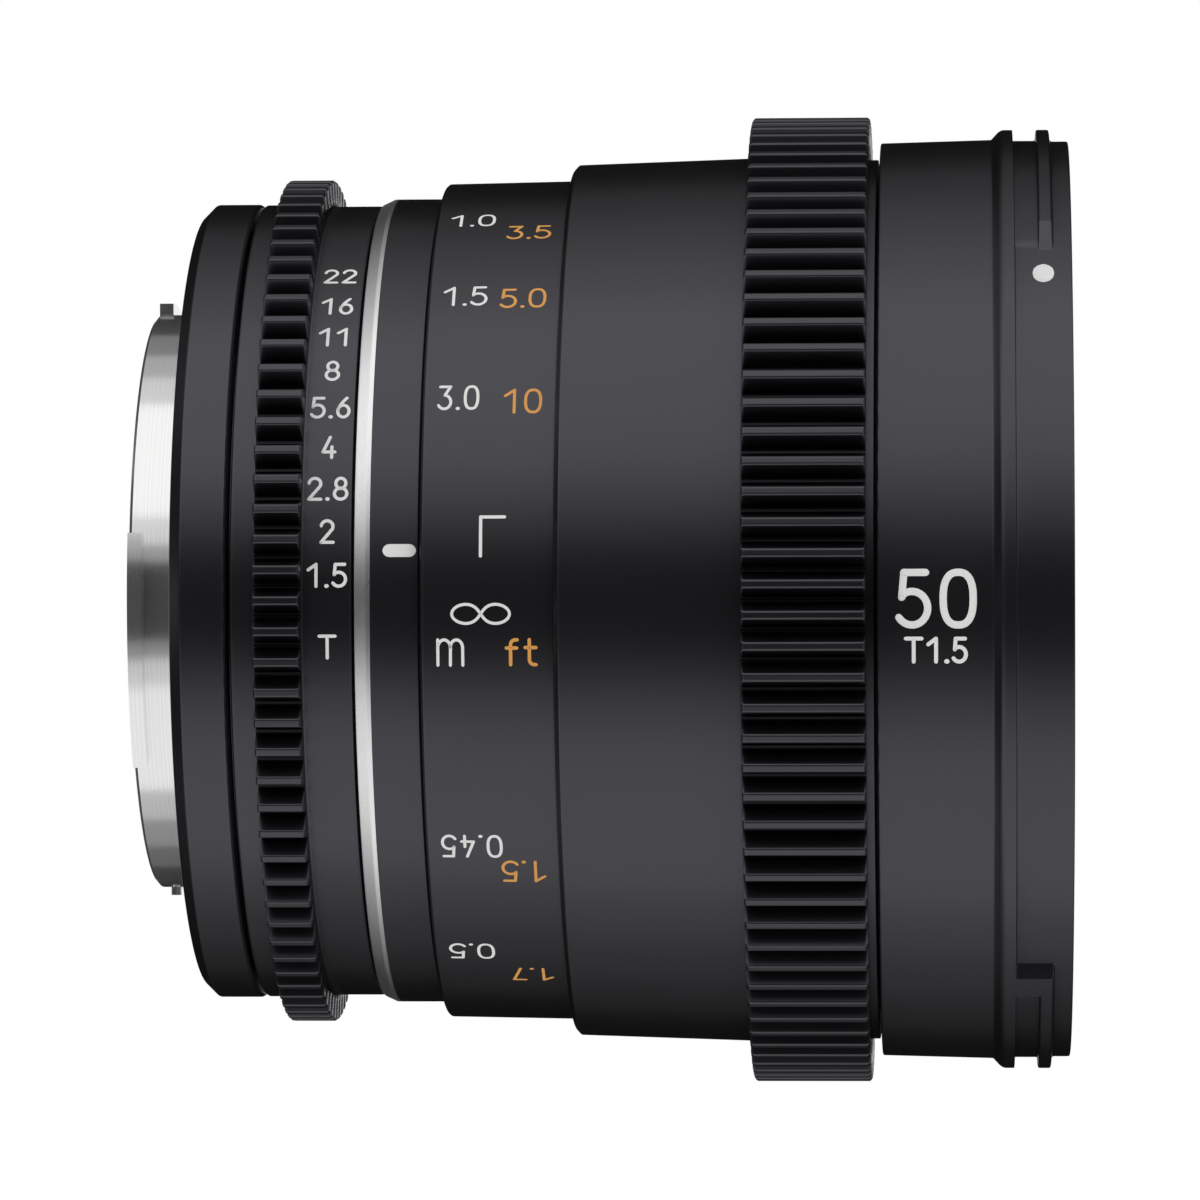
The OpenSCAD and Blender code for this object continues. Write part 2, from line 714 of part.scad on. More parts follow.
module hood_lugs() {
  for (turn = [0, 180]) {
    far_end = marked_side(hood_lug_place + hood_lug_arc) + turn;
    arc_block(filter_r + front_wall / 2, crest_r, hood_lug_back, hood_lug_back + hood_lug_width, far_end,
      hood_lug_arc - hood_end_arc);
    arc_block(filter_r + front_wall / 2, crest_r - hood_height / 2, hood_lug_back,
      hood_lug_back + hood_lug_width, far_end, hood_lug_arc);
    arc_block(filter_r + front_wall / 2, crest_r, hood_flange_front - hood_flange_width,
      hood_lug_back + hood_lug_width, far_end, hood_end_arc);
  }
}

module front_barrel() {
  skirt_bore_r = gear_seat_r + free_gap;
  slope_back = hood_flange_front - 2 * hood_flange_width;
  color(black) along_axis() difference() {
    union() {
      turned([[guide_bore_r + edge_break, web_back], [skirt_bore_r, web_back], [skirt_bore_r, front_back],
        [front_r - fine_break, front_back], [front_r, front_back + fine_break],
        [front_r + front_taper, slope_back], [crest_r, slope_back + hood_flange_width],
        [crest_r, hood_flange_front], [groove_r, hood_flange_front],
        [groove_r, front_end - fine_break], [groove_r - fine_break, front_end],
        [filter_r + edge_break, front_end], [filter_r, front_end - edge_break],
        [filter_r, trim_front + relief_width], [filter_r + relief_depth, trim_front + relief_width],
        [filter_r + relief_depth, trim_front], [trim_bore_r, trim_front], [trim_bore_r, trim_seat],
        [trim_bore_r - trim_lip, trim_seat], [trim_bore_r - trim_lip, web_back + web_thick],
        [guide_bore_r + edge_break, web_back + web_thick]]);
      hood_lugs();
    }
    around(mount_screws_n, mount_screw_first) {
      bar(guide_mid_r, small_screw_r + seat_fit, web_back - cut, web_back + web_thick + cut);
      bar(guide_mid_r, head_ratio * small_screw_r + seat_fit, web_back + web_thick - screw_head - seat_fit,
        web_back + web_thick + cut);
    }
  }
}

module front_barrel_screws() {
  color(screw_steel) along_axis() around(mount_screws_n, mount_screw_first)
    screw(guide_mid_r, small_screw_r, web_back + web_thick - screw_head - seat_fit, front_screw_len);
}

module front_trim_ring() {
  trim_r = trim_bore_r - seat_fit;
  eye_r = cell_flange_r - trim_thick;
  inner_r = trim_bore_r - trim_lip - seat_fit;
  color(black) along_axis() turned([[trim_r, trim_seat], [trim_r, trim_front], [inner_r, trim_front],
    [eye_r, trim_seat], [eye_r, trim_seat - trim_thick], [inner_r, trim_seat]]);
}

// Aperture ring and its drive

module fork_screw_places() {
  for (turn = [-fork_screw_spread, fork_screw_spread]) rotate([0, 0, drive_angle + turn]) children();
}

module aperture_ring() {
  under_r = (aperture_bore_r + aperture_r) / 2;
  gear_mid = (iris_gear_back + iris_gear_front) / 2;
  color(black) along_axis() difference() {
    union() {
      turned([[aperture_bore_r, aperture_back], [aperture_r, aperture_back],
        [aperture_r + land_rise, aperture_back + edge_break], [aperture_r + land_rise, gear_mid],
        [aperture_r, gear_mid], [aperture_r, aperture_front], [aperture_bore_r, aperture_front]]);
      gear_teeth(iris_teeth, under_r, iris_gear_bevel, iris_gear_back, iris_gear_front);
    }
    arc_block(fork_slot_r, fork_top_r + seat_fit, fork_back - seat_fit, fork_front + seat_fit,
      drive_angle - fork_half - seat_fit, 2 * (fork_half + seat_fit));
    fork_screw_places() bar(fork_screw_circle, fork_screw_r + tap_fit, fork_back, aperture_front + cut);
  }
}

module iris_drive_fork() {
  color(screw_steel) along_axis() difference() {
    arc_block(cell_r + free_gap, fork_top_r, fork_back, fork_front, drive_angle - fork_half, 2 * fork_half);
    arc_block(cell_r, fork_slot_r, fork_back - cut, fork_front + cut, drive_angle - fork_slot_half,
      2 * fork_slot_half);
    fork_screw_places()
      bar(fork_screw_circle, fork_screw_r + tap_fit, fork_back + fork_tap, fork_front + cut);
  }
}

module fork_screws() {
  color(screw_steel) along_axis() fork_screw_places()
    bar(fork_screw_circle, fork_screw_r, fork_back + fork_tap + slot_fit, aperture_front - slot_fit);
}

// Focus ring with the cam sleeve inside it

module focus_scale_ring() {
  color(black) along_axis() turned([[scale_bore_r, scale_back], [scale_r - ring_bevel, scale_back],
    [scale_r, scale_back + ring_bevel], [scale_front_r, scale_front], [scale_bore_r, scale_front]]);
}

module focus_barrel() {
  color(black) along_axis() difference() {
    turned([[spigot_bore_r, spigot_back], [spigot_r, spigot_back], [spigot_r, scale_front],
      [barrel_r - ring_bevel, scale_front], [barrel_r, scale_front + ring_bevel], [barrel_front_r, gear_back],
      [gear_seat_r, gear_back], [gear_seat_r, focus_front], [drum_bore_r, focus_front],
      [drum_bore_r, sleeve_seat], [spigot_bore_r, sleeve_seat]]);
    around(mount_screws_n) bar(sleeve_screw_circle, small_screw_r + tap_fit,
      sleeve_seat - sleeve_screw_len, sleeve_seat + cut);
  }
}

module focus_gear_ring() {
  color(black) along_axis() difference() {
    gear_teeth(focus_teeth, gear_seat_r - cut, focus_gear_bevel, gear_back, gear_front);
    tube(0, gear_seat_r + seat_fit, gear_back - cut, gear_front + cut);
  }
}

// One curved slot of the cam sleeve: a square-sided channel swept along the helix
module cam_slot() {
  rise = cam_lead / 360;
  half = slot_half / cos(atan(cam_lead / (2 * PI * sleeve_mid_r)));
  low_r = sleeve_bore_r - cut;
  high_r = sleeve_r + cut;
  sides = [[low_r, -half], [high_r, -half], [high_r, half], [low_r, half]];
  stations = [for (i = [0 : cam_steps]) -cam_overrun + (focus_throw + 2 * cam_overrun) * i / cam_steps];
  points = [for (t = stations) for (s = sides)
    [s[0] * cos(-t), s[0] * sin(-t), follower_x + rise * t + s[1]]];
  walls = [for (i = [0 : cam_steps - 1]) for (j = [0 : 3]) let (k = (j + 1) % 4)
    each [[4 * i + j, 4 * i + 4 + k, 4 * i + k], [4 * i + j, 4 * i + 4 + j, 4 * i + 4 + k]]];
  last = 4 * cam_steps;
  ends = [[0, 1, 2], [0, 2, 3], [last, last + 2, last + 1], [last, last + 3, last + 2]];
  polyhedron(points, concat(walls, ends));
}

module cam_sleeve() {
  stop_half = asin((stop_pin_r + slot_fit) / sleeve_mid_r);
  color(dark_inner) along_axis() difference() {
    turned([[sleeve_bore_r, sleeve_back], [sleeve_r, sleeve_back], [sleeve_r, sleeve_seat],
      [sleeve_flange_r, sleeve_seat], [sleeve_flange_r, sleeve_flange_front], [sleeve_r, sleeve_flange_front],
      [sleeve_r, sleeve_front], [sleeve_bore_r, sleeve_front]]);
    around(follower_n, drive_angle) cam_slot();
    arc_block(sleeve_bore_r - cut, sleeve_r + cut, sleeve_back - cut,
      index_front + stop_pin_reach + 2 * slot_fit, stop_pin_place - focus_throw - stop_half,
      focus_throw + 2 * stop_half);
    around(mount_screws_n) bar(sleeve_screw_circle, small_screw_r + seat_fit, sleeve_seat - cut,
      sleeve_flange_front + cut);
  }
}

module cam_sleeve_screws() {
  color(screw_steel) along_axis() around(mount_screws_n)
    screw(sleeve_screw_circle, small_screw_r, sleeve_flange_front,
      sleeve_flange + sleeve_screw_len - slot_fit);
}

// Sliding carriage, its cells and the glass

module lens_carriage() {
  color(dark_inner) along_axis() difference() {
    turned([[iris_bore_r, carriage_back], [carriage_r, carriage_back], [carriage_r, carriage_front],
      [carriage_bore_r, carriage_front], [carriage_bore_r, iris_front], [iris_bore_r, iris_front]]);
    around(follower_n, drive_angle)
      spoke(follower_screw_r + tap_fit, follower_root_r, carriage_r + cut, follower_x);
    around(follower_n) bar(cell_screw_circle, small_screw_r + tap_fit,
      carriage_back - cut, carriage_back + cell_screw_len);
  }
}

module follower_rollers() {
  color(brass_tone) along_axis() around(follower_n, drive_angle) difference() {
    spoke(roller_r, carriage_r, roller_end_r, follower_x);
    spoke(follower_screw_r + seat_fit, carriage_r - cut, roller_end_r + cut, follower_x);
  }
}

module follower_screws() {
  color(screw_steel) along_axis() around(follower_n, drive_angle) {
    spoke(follower_screw_r, follower_root_r + seat_fit, roller_end_r + seat_fit, follower_x);
    spoke(roller_r - slot_fit, roller_end_r + seat_fit, roller_end_r + seat_fit + screw_head, follower_x);
  }
}

module front_cell() {
  bevel_back = retainer_back + retainer_width + edge_break;
  color(black) along_axis() turned([[doublet_r + glass_fit, front_cell_back],
    [carriage_bore_r - seat_fit, front_cell_back], [carriage_bore_r - seat_fit, carriage_front],
    [cell_flange_r, carriage_front], [cell_flange_r, front_cell_front],
    [cell_flange_r - cell_lead, front_cell_front],
    [front_glass_r + glass_fit, bevel_back], [front_glass_r + glass_fit, front_seat],
    [doublet_lip_r, front_seat], [doublet_lip_r, doublet_seat], [doublet_r + glass_fit, doublet_seat]]);
}

module front_retaining_ring() {
  color(black) along_axis() turned([[retainer_in_r, retainer_back], [front_glass_r, retainer_back],
    [front_glass_r, retainer_back + retainer_width],
    [retainer_in_r + retainer_bevel, retainer_back + retainer_width],
    [retainer_in_r, retainer_back + retainer_bevel]]);
}

module doublet_retaining_ring() {
  color(black) along_axis()
    tube(doublet_r - 2 * doublet_lip, doublet_r, hollow_edge - retainer_width, hollow_edge - cement);
}

module rear_cell() {
  color(black) along_axis() difference() {
    turned([[lip_r, nose_back], [nose_r, nose_back], [nose_r, nose_front], [cell_r, nose_front],
      [cell_r, cell_flange_back], [cell_flange_r, cell_flange_back], [cell_flange_r, carriage_back],
      [rear_glass_r + glass_fit, carriage_back], [rear_glass_r + glass_fit, seat_5],
      [third_r + glass_fit, seat_5],
      [third_r + glass_fit, seat_7], [fourth_r + glass_fit, seat_7], [fourth_r + glass_fit, seat_8],
      [fifth_r + glass_fit, seat_8], [fifth_r + glass_fit, seat_9], [lip_r, seat_9]]);
    swept_window(finger_in_r - finger_gap, finger_out_r + finger_gap, cell_flange_back - cut,
      carriage_back + cut, finger_half);
    around(follower_n) bar(cell_screw_circle, small_screw_r + seat_fit, cell_flange_back - cut,
      carriage_back + cut);
  }
}

module rear_cell_screws() {
  head_r = cell_flange_r - cell_screw_circle - seat_fit;
  color(screw_steel) along_axis() around(follower_n) {
    bar(cell_screw_circle, small_screw_r, cell_flange_back, carriage_back + cell_screw_len - cut);
    bar(cell_screw_circle, head_r, cell_flange_back - screw_head, cell_flange_back);
  }
}

module rear_retaining_ring() {
  color(black) along_axis() tube(rear_glass_r - retainer_lip, rear_glass_r,
    surface_x(e4_x, e4_curve, rear_glass_r) + cement, carriage_back);
}

module rear_spacer_ring() {
  color(black) along_axis() tube(spacer_in_r, third_r, surface_x(e6_x, e6_curve, spacer_in_r) + cement,
    surface_x(e5_back, e5_back_curve, spacer_in_r) - cement);
}

module front_element() {
  color(glass_tone) along_axis() lens(front_glass_r, front_x, front_curve, front_back_x, front_back_curve);
}

module doublet_front_element() {
  color(glass_tone) along_axis() lens(doublet_r, doublet_x, doublet_curve, doublet_back_x, cement_curve);
}

module doublet_hollow_element() {
  color(glass_tone) along_axis() lens(doublet_r, hollow_x, cement_curve, hollow_back_x, hollow_curve);
}

module rear_hollow_element() {
  color(glass_tone) along_axis() lens(rear_glass_r, e4_x, e4_curve, e4_back, e5_curve);
}

module rear_pair_element() {
  color(glass_tone) along_axis() lens(rear_glass_r, e5_x, e5_curve, e5_back, e5_back_curve);
}

module third_group_element() {
  color(glass_tone) along_axis() lens(third_r, e6_x, e6_curve, e6_back, e7_curve);
}

module third_group_flint() {
  color(glass_tone) along_axis() lens(third_r, e7_x, e7_curve, e7_back, e7_back_curve);
}

module field_element() {
  color(glass_tone) along_axis() lens(fourth_r, e8_x, e8_curve, e8_back, -e8_curve);
}

module rear_element() {
  color(glass_tone) along_axis() lens(fifth_r, e9_x, e9_curve, e9_back, e9_back_curve);
}

// Iris

module iris_base_plate() {
  color(dark_inner) along_axis() difference() {
    tube(plate_bore_r, iris_bore_r - seat_fit, plate_back, iris_front);
    around(blade_n, drive_angle) bar(pivot_r, pivot_pin_r + run_fit, plate_back - cut, iris_front + cut);
  }
}

// Track of a blade's drive pin as the cam ring turns under it
module cam_track() {
  half = drive_pin_r + slot_fit;
  turns = [for (i = [0 : track_steps])
    -aperture_before - track_over + (aperture_throw + 2 * track_over) * i / track_steps];
  mid = [for (t = turns) track_point(t)];
  side = [for (t = turns) let (d = track_point(t + track_nudge) - track_point(t - track_nudge))
    half * [-d[1], d[0]] / norm(d)];
  left = [for (i = [0 : track_steps]) mid[i] + side[i]];
  right = [for (i = [track_steps : -1 : 0]) mid[i] - side[i]];
  polygon(concat(left, right));
}

module iris_cam_ring() {
  color(dark_inner) along_axis() difference() {
    tube(plate_bore_r, cam_ring_r, cam_back, cam_front);
    around(blade_n, drive_angle) translate([0, 0, cam_back - cut])
      linear_extrude(height = cam_ring_thick + 2 * cut) cam_track();
  }
}

module iris_drive_finger() {
  color(screw_steel) along_axis()
    arc_block(finger_in_r, finger_out_r, finger_back, cam_back, drive_angle - finger_half, 2 * finger_half);
}

// Blade outline, wide open: a curved band with an ear for the two pins
module blade_outline() {
  far = 2 * blade_r;
  pin = drive_pin_at(0);
  difference() {
    intersection() {
      circle(r = blade_r);
      polygon(concat([[0, 0]], [for (i = [0 : blade_steps])
        turned_by([far, 0], blade_heel + (blade_arc - blade_heel) * i / blade_steps)]));
    }
    circle(r = iris_open_r);
  }
  translate([pivot_r, 0]) circle(r = pivot_pin_r + ear_margin);
  translate(pin) circle(r = drive_pin_r + ear_margin);
  polygon([[pivot_r + pivot_pin_r + ear_margin, 0], pin + [drive_pin_r + ear_margin, 0],
    pin + [-drive_pin_r, drive_pin_r + ear_margin], turned_by([blade_r - ear_margin, 0], ear_to),
    turned_by([blade_r - ear_margin, 0], ear_from), [pivot_r, -pivot_pin_r - ear_margin]]);
}

module iris_blade(number) {
  level = blade_back + blade_pitch * (number - 1);
  color(dark_inner) along_axis() rotate([0, 0, drive_angle + 360 * (number - 1) / blade_n])
    translate([pivot_r, 0, 0]) rotate([0, 0, blade_rest]) translate([-pivot_r, 0, 0]) {
      translate([0, 0, level]) linear_extrude(height = blade_thick) blade_outline();
      bar(pivot_r, pivot_pin_r, level, iris_front - cut / 2);
      translate(drive_pin_at(0)) translate([0, 0, cam_back + iris_gap])
        cylinder(r = drive_pin_r, h = level + blade_thick - cam_back - iris_gap);
    }
}

bayonet_mount();
bayonet_stop_pin();
mount_screws();
rear_baffle();
rear_housing();
guide_barrel();
guide_screws();
accent_ring();
index_ring();
index_screws();
focus_stop_pin();
rear_thrust_washer();
front_thrust_washer();
front_barrel();
front_barrel_screws();
front_trim_ring();
aperture_ring();
iris_drive_fork();
fork_screws();
focus_scale_ring();
focus_barrel();
focus_gear_ring();
cam_sleeve();
cam_sleeve_screws();
lens_carriage();
follower_rollers();
follower_screws();
front_cell();
front_retaining_ring();
doublet_retaining_ring();
rear_cell();
rear_cell_screws();
rear_retaining_ring();
rear_spacer_ring();
iris_base_plate();
front_element();
doublet_front_element();
doublet_hollow_element();
rear_hollow_element();
rear_pair_element();
third_group_element();
third_group_flint();
field_element();
rear_element();
iris_cam_ring();
iris_drive_finger();
for (number = [1 : blade_n])
  iris_blade(number);
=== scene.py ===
import json
import math

import bpy
import numpy as np
from mathutils import Matrix, Quaternion, Vector


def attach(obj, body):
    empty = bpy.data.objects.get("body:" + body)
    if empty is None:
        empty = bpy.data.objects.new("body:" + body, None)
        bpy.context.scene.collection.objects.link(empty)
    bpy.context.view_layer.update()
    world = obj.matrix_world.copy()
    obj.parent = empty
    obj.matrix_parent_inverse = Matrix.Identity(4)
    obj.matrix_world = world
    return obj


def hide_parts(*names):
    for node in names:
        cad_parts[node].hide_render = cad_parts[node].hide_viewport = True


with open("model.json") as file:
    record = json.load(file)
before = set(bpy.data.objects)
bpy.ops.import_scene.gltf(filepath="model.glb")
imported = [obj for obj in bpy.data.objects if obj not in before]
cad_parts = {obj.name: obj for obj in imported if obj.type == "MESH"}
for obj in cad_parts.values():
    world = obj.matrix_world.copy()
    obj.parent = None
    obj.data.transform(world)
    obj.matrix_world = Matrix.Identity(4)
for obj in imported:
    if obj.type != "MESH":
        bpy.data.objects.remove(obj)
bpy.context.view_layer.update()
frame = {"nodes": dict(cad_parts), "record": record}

mm = 0.001
turn = 2 * math.pi
scene = bpy.context.scene
print("frame loaded:", len(frame["nodes"]), "nodes")


def addObject(name, data):
    made = bpy.data.objects.new(name, data)
    scene.collection.objects.link(made)
    return made


# camera: level with the axis, a little ahead of the middle, long lens
camera = {"place": (66.1, -612.0, 0.0), "aim": (34.2, 0.0, 0.0), "lens": 210.0, "sensor": 36.0, "roll": -0.14}

cameraData = bpy.data.cameras.new("viewCamera")
cameraData.lens = camera["lens"]
cameraData.sensor_width = camera["sensor"]
cameraData.clip_start = 0.01
viewCamera = addObject("viewCamera", cameraData)
place = Vector(camera["place"]) * mm
look = (Vector(camera["aim"]) * mm - place).to_track_quat("-Z", "Y")
viewCamera.rotation_mode = "QUATERNION"
viewCamera.rotation_quaternion = look @ Quaternion((0, 0, 1), math.radians(camera["roll"]))
viewCamera.location = place
scene.camera = viewCamera
print("camera set")


# shader groups shared by the finishes

def setInputs(node, values):
    for key, value in values.items():
        node.inputs[key].default_value = value


def addNode(tree, kind, inputs=None, **settings):
    made = tree.nodes.new(kind)
    for key, value in settings.items():
        setattr(made, key, value)
    setInputs(made, inputs or {})
    return made


def newGroup(name, ins, outs):
    tree = bpy.data.node_groups.new(name, "ShaderNodeTree")
    for label, kind, value in ins:
        socket = tree.interface.new_socket(name=label, in_out="INPUT", socket_type=kind)
        if value is not None:
            socket.default_value = value
    for label, kind in outs:
        tree.interface.new_socket(name=label, in_out="OUTPUT", socket_type=kind)
    return tree, addNode(tree, "NodeGroupInput"), addNode(tree, "NodeGroupOutput")


def mathNode(tree, operation, a, b=None):
    made = addNode(tree, "ShaderNodeMath", operation=operation)
    for slot, value in enumerate((a, b)):
        if value is None:
            continue
        if isinstance(value, (int, float)):
            made.inputs[slot].default_value = value
        else:
            tree.links.new(value, made.inputs[slot])
    return made.outputs[0]


def rangeNode(tree, value, low, high, toLow, toHigh):
    made = addNode(tree, "ShaderNodeMapRange", {"From Min": low, "From Max": high, "To Min": toLow, "To Max": toHigh})
    tree.links.new(value, made.inputs["Value"])
    return made.outputs["Result"]


# lathe marks: noise along (x + distance from the axis) / pitch, so rings on faces and on walls alike
latheMarks, gin, gout = newGroup("latheMarks",
    [("Vector", "NodeSocketVector", None), ("Pitch", "NodeSocketFloat", 0.2)],
    [("Lines", "NodeSocketFloat"), ("Drift", "NodeSocketFloat")])
split = addNode(latheMarks, "ShaderNodeSeparateXYZ")
latheMarks.links.new(gin.outputs["Vector"], split.inputs[0])
ySquare = mathNode(latheMarks, "MULTIPLY", split.outputs["Y"], split.outputs["Y"])
zSquare = mathNode(latheMarks, "MULTIPLY", split.outputs["Z"], split.outputs["Z"])
radius = mathNode(latheMarks, "SQRT", mathNode(latheMarks, "ADD", ySquare, zSquare))
along = mathNode(latheMarks, "MULTIPLY", mathNode(latheMarks, "ADD", split.outputs["X"], radius), 1 / mm)
steps = mathNode(latheMarks, "DIVIDE", along, gin.outputs["Pitch"])
fine = addNode(latheMarks, "ShaderNodeTexNoise", {"Scale": 1.0, "Detail": 2.0, "Roughness": 0.6},
               noise_dimensions="1D")
slow = addNode(latheMarks, "ShaderNodeTexNoise", {"Scale": 0.11, "Detail": 1.0}, noise_dimensions="1D")
latheMarks.links.new(steps, fine.inputs["W"])
latheMarks.links.new(steps, slow.inputs["W"])
latheMarks.links.new(fine.outputs[0], gout.inputs["Lines"])
latheMarks.links.new(slow.outputs[0], gout.inputs["Drift"])

# grain: fine noise of the blasted and anodised skin, and slow clouds
skinGrain, gin, gout = newGroup("skinGrain",
    [("Vector", "NodeSocketVector", None), ("Size", "NodeSocketFloat", 0.1)],
    [("Grain", "NodeSocketFloat"), ("Cloud", "NodeSocketFloat")])
inMillimetres = addNode(skinGrain, "ShaderNodeVectorMath", {"Scale": 1 / mm}, operation="SCALE")
skinGrain.links.new(gin.outputs["Vector"], inMillimetres.inputs[0])
perGrain = addNode(skinGrain, "ShaderNodeVectorMath", operation="SCALE")
skinGrain.links.new(inMillimetres.outputs[0], perGrain.inputs[0])
skinGrain.links.new(mathNode(skinGrain, "DIVIDE", 1.0, gin.outputs["Size"]), perGrain.inputs["Scale"])
grainNoise = addNode(skinGrain, "ShaderNodeTexNoise", {"Scale": 1.0, "Detail": 2.0, "Roughness": 0.55})
cloudNoise = addNode(skinGrain, "ShaderNodeTexNoise", {"Scale": 0.09, "Detail": 3.0})
skinGrain.links.new(perGrain.outputs[0], grainNoise.inputs["Vector"])
skinGrain.links.new(inMillimetres.outputs[0], cloudNoise.inputs["Vector"])
skinGrain.links.new(grainNoise.outputs[0], gout.inputs["Grain"])
skinGrain.links.new(cloudNoise.outputs[0], gout.inputs["Cloud"])

# edge wear: the edge attribute, broken up by the grain
edgeWear, gin, gout = newGroup("edgeWear",
    [("Edge", "NodeSocketFloat", 0.0), ("Grain", "NodeSocketFloat", 0.5), ("Amount", "NodeSocketFloat", 0.3)],
    [("Mask", "NodeSocketFloat")])
broken = mathNode(edgeWear, "MULTIPLY", gin.outputs["Edge"], mathNode(edgeWear, "ADD", gin.outputs["Grain"], 0.4))
worn = rangeNode(edgeWear, broken, 0.45, 1.0, 0.0, 1.0)
edgeWear.links.new(mathNode(edgeWear, "MULTIPLY", worn, gin.outputs["Amount"]), gout.inputs["Mask"])


def mixColour(tree, mask, under, over):
    made = addNode(tree, "ShaderNodeMix", data_type="RGBA")
    tree.links.new(mask, made.inputs["Factor"])
    for slot, value in ((6, under), (7, over)):
        if isinstance(value, tuple):
            made.inputs[slot].default_value = (*value, 1.0)
        else:
            tree.links.new(value, made.inputs[slot])
    return made.outputs[2]


finishes = {}


# a new material with these plain inputs; gives its node tree and its shader
def newFinish(name, inputs):
    material = finishes[name] = bpy.data.materials.new(name)
    material.use_nodes = True
    shader = material.node_tree.nodes["Principled BSDF"]
    setInputs(shader, inputs)
    return material.node_tree, shader


# a turned finish: two close tones mixed by grain and lathe marks, paler on worn edges, bump from both; the valley
# shade setting is painted shade: how much of the sheen the bottoms of the gear valleys lose, so that they look shaded
def turnedFinish(name, dark, light, edge, rough, metal=0.0, pitch=0.2, lines=0.3, grain=0.12, grainShare=0.4,
                 bump=0.004, wear=0.3, specular=0.5, spread=0.06, tint=(1.0, 1.0, 1.0), valleyShade=0.0):
    tree, shader = newFinish(name, {"Metallic": metal, "Specular IOR Level": specular, "Specular Tint": (*tint, 1.0)})
    # painted shade: metal over the near-black base takes the sheen from the gear valleys, darkening them as shade
    # would
    if valleyShade:
        valleyShadeNode = addNode(tree, "ShaderNodeAttribute", attribute_name="valleyShade")
        tree.links.new(mathNode(tree, "MULTIPLY", valleyShadeNode.outputs["Fac"], valleyShade), shader.inputs["Metallic"])
    where = addNode(tree, "ShaderNodeTexCoord")
    edgeNode = addNode(tree, "ShaderNodeAttribute", attribute_name="edge")
    marks = addNode(tree, "ShaderNodeGroup", {"Pitch": pitch}, node_tree=latheMarks)
    skin = addNode(tree, "ShaderNodeGroup", {"Size": grain}, node_tree=skinGrain)
    rub = addNode(tree, "ShaderNodeGroup", {"Amount": wear}, node_tree=edgeWear)
    for group in (marks, skin):
        tree.links.new(where.outputs["Object"], group.inputs["Vector"])
    tree.links.new(edgeNode.outputs["Fac"], rub.inputs["Edge"])
    tree.links.new(skin.outputs["Grain"], rub.inputs["Grain"])
    lineShare = mathNode(tree, "MULTIPLY", marks.outputs["Lines"], lines)
    skinShare = mathNode(tree, "MULTIPLY", skin.outputs["Grain"], grainShare)
    cloudShare = mathNode(tree, "MULTIPLY", skin.outputs["Cloud"], max(0.0, 1.0 - lines - grainShare))
    relief = mathNode(tree, "ADD", lineShare, skinShare)
    tone = rangeNode(tree, mathNode(tree, "ADD", relief, cloudShare), 0.3, 0.7, 0.0, 1.0)
    colour = mixColour(tree, tone, dark, light)
    colour = mixColour(tree, rub.outputs["Mask"], colour, edge)
    tree.links.new(colour, shader.inputs["Base Color"])
    roughness = rangeNode(tree, tone, 0.0, 1.0, rough + spread / 2, rough - spread / 2)
    tree.links.new(roughness, shader.inputs["Roughness"])
    bumpNode = addNode(tree, "ShaderNodeBump", {"Strength": 1.0, "Distance": bump * mm})
    tree.links.new(relief, bumpNode.inputs["Height"])
    tree.links.new(bumpNode.outputs[0], shader.inputs["Normal"])


# the anodised skin reflects a little violet
anodised = {"dark": (0.0036, 0.0035, 0.0039), "light": (0.0056, 0.0054, 0.006), "edge": (0.03, 0.03, 0.032),
            "rough": 0.30, "bump": 0.0010, "specular": 1.0, "spread": 0.05, "tint": (0.90, 0.885, 1.0)}
turnedFinish("blackAnodised", **anodised, pitch=0.16, grain=0.10, wear=0.1)
# the gear finish paints shade into its valleys through the valley attribute
turnedFinish("gearAnodised", **anodised, pitch=0.3, lines=0.2, grain=0.11, wear=0.12, valleyShade=0.78)
turnedFinish("mattBlack", (0.008, 0.008, 0.0085), (0.014, 0.014, 0.015), (0.04, 0.04, 0.04), 0.62,
             pitch=0.25, grain=0.15, wear=0.25, specular=0.35)
turnedFinish("innerMetal", (0.045, 0.045, 0.05), (0.075, 0.075, 0.08), (0.2, 0.2, 0.21), 0.42, metal=0.6,
             lines=0.5, wear=0.4)
turnedFinish("mountChrome", (0.88, 0.88, 0.875), (0.96, 0.96, 0.955), (0.97, 0.97, 0.97), 0.15, metal=0.92,
             pitch=0.14, lines=0.75, grain=0.2, grainShare=0.1, bump=0.0014, wear=0.4, spread=0.08)
turnedFinish("brightRing", (0.88, 0.88, 0.88), (0.95, 0.95, 0.95), (0.97, 0.97, 0.97), 0.32, metal=1.0,
             lines=0.2, grain=0.16, grainShare=0.6, spread=0.12)
turnedFinish("screwSteel", (0.36, 0.36, 0.37), (0.5, 0.5, 0.51), (0.7, 0.7, 0.7), 0.3, metal=1.0,
             pitch=0.12, lines=0.4, grain=0.08, bump=0.002)
turnedFinish("bearingBrass", (0.62, 0.44, 0.17), (0.72, 0.54, 0.24), (0.82, 0.66, 0.36), 0.28, metal=1.0,
             pitch=0.15, lines=0.5, grain=0.1, bump=0.002)
turnedFinish("bearingPlastic", (0.010, 0.010, 0.0105), (0.016, 0.016, 0.0165), (0.03, 0.03, 0.03), 0.5,
             bump=0.002, wear=0.2, specular=0.4)
turnedFinish("bladeBlack", (0.02, 0.02, 0.022), (0.035, 0.035, 0.037), (0.1, 0.1, 0.1), 0.45,
             pitch=0.3, lines=0.15, grain=0.08, bump=0.002)
paint = {"edge": (0.8, 0.8, 0.8), "rough": 0.55, "pitch": 0.5, "lines": 0.1, "grain": 0.07, "grainShare": 0.6,
         "bump": 0.003, "wear": 0.0, "specular": 0.3}
turnedFinish("whitePaint", (0.64, 0.64, 0.63), (0.74, 0.74, 0.73), **paint)
turnedFinish("orangePaint", (0.60, 0.27, 0.06), (0.68, 0.32, 0.075), **paint)


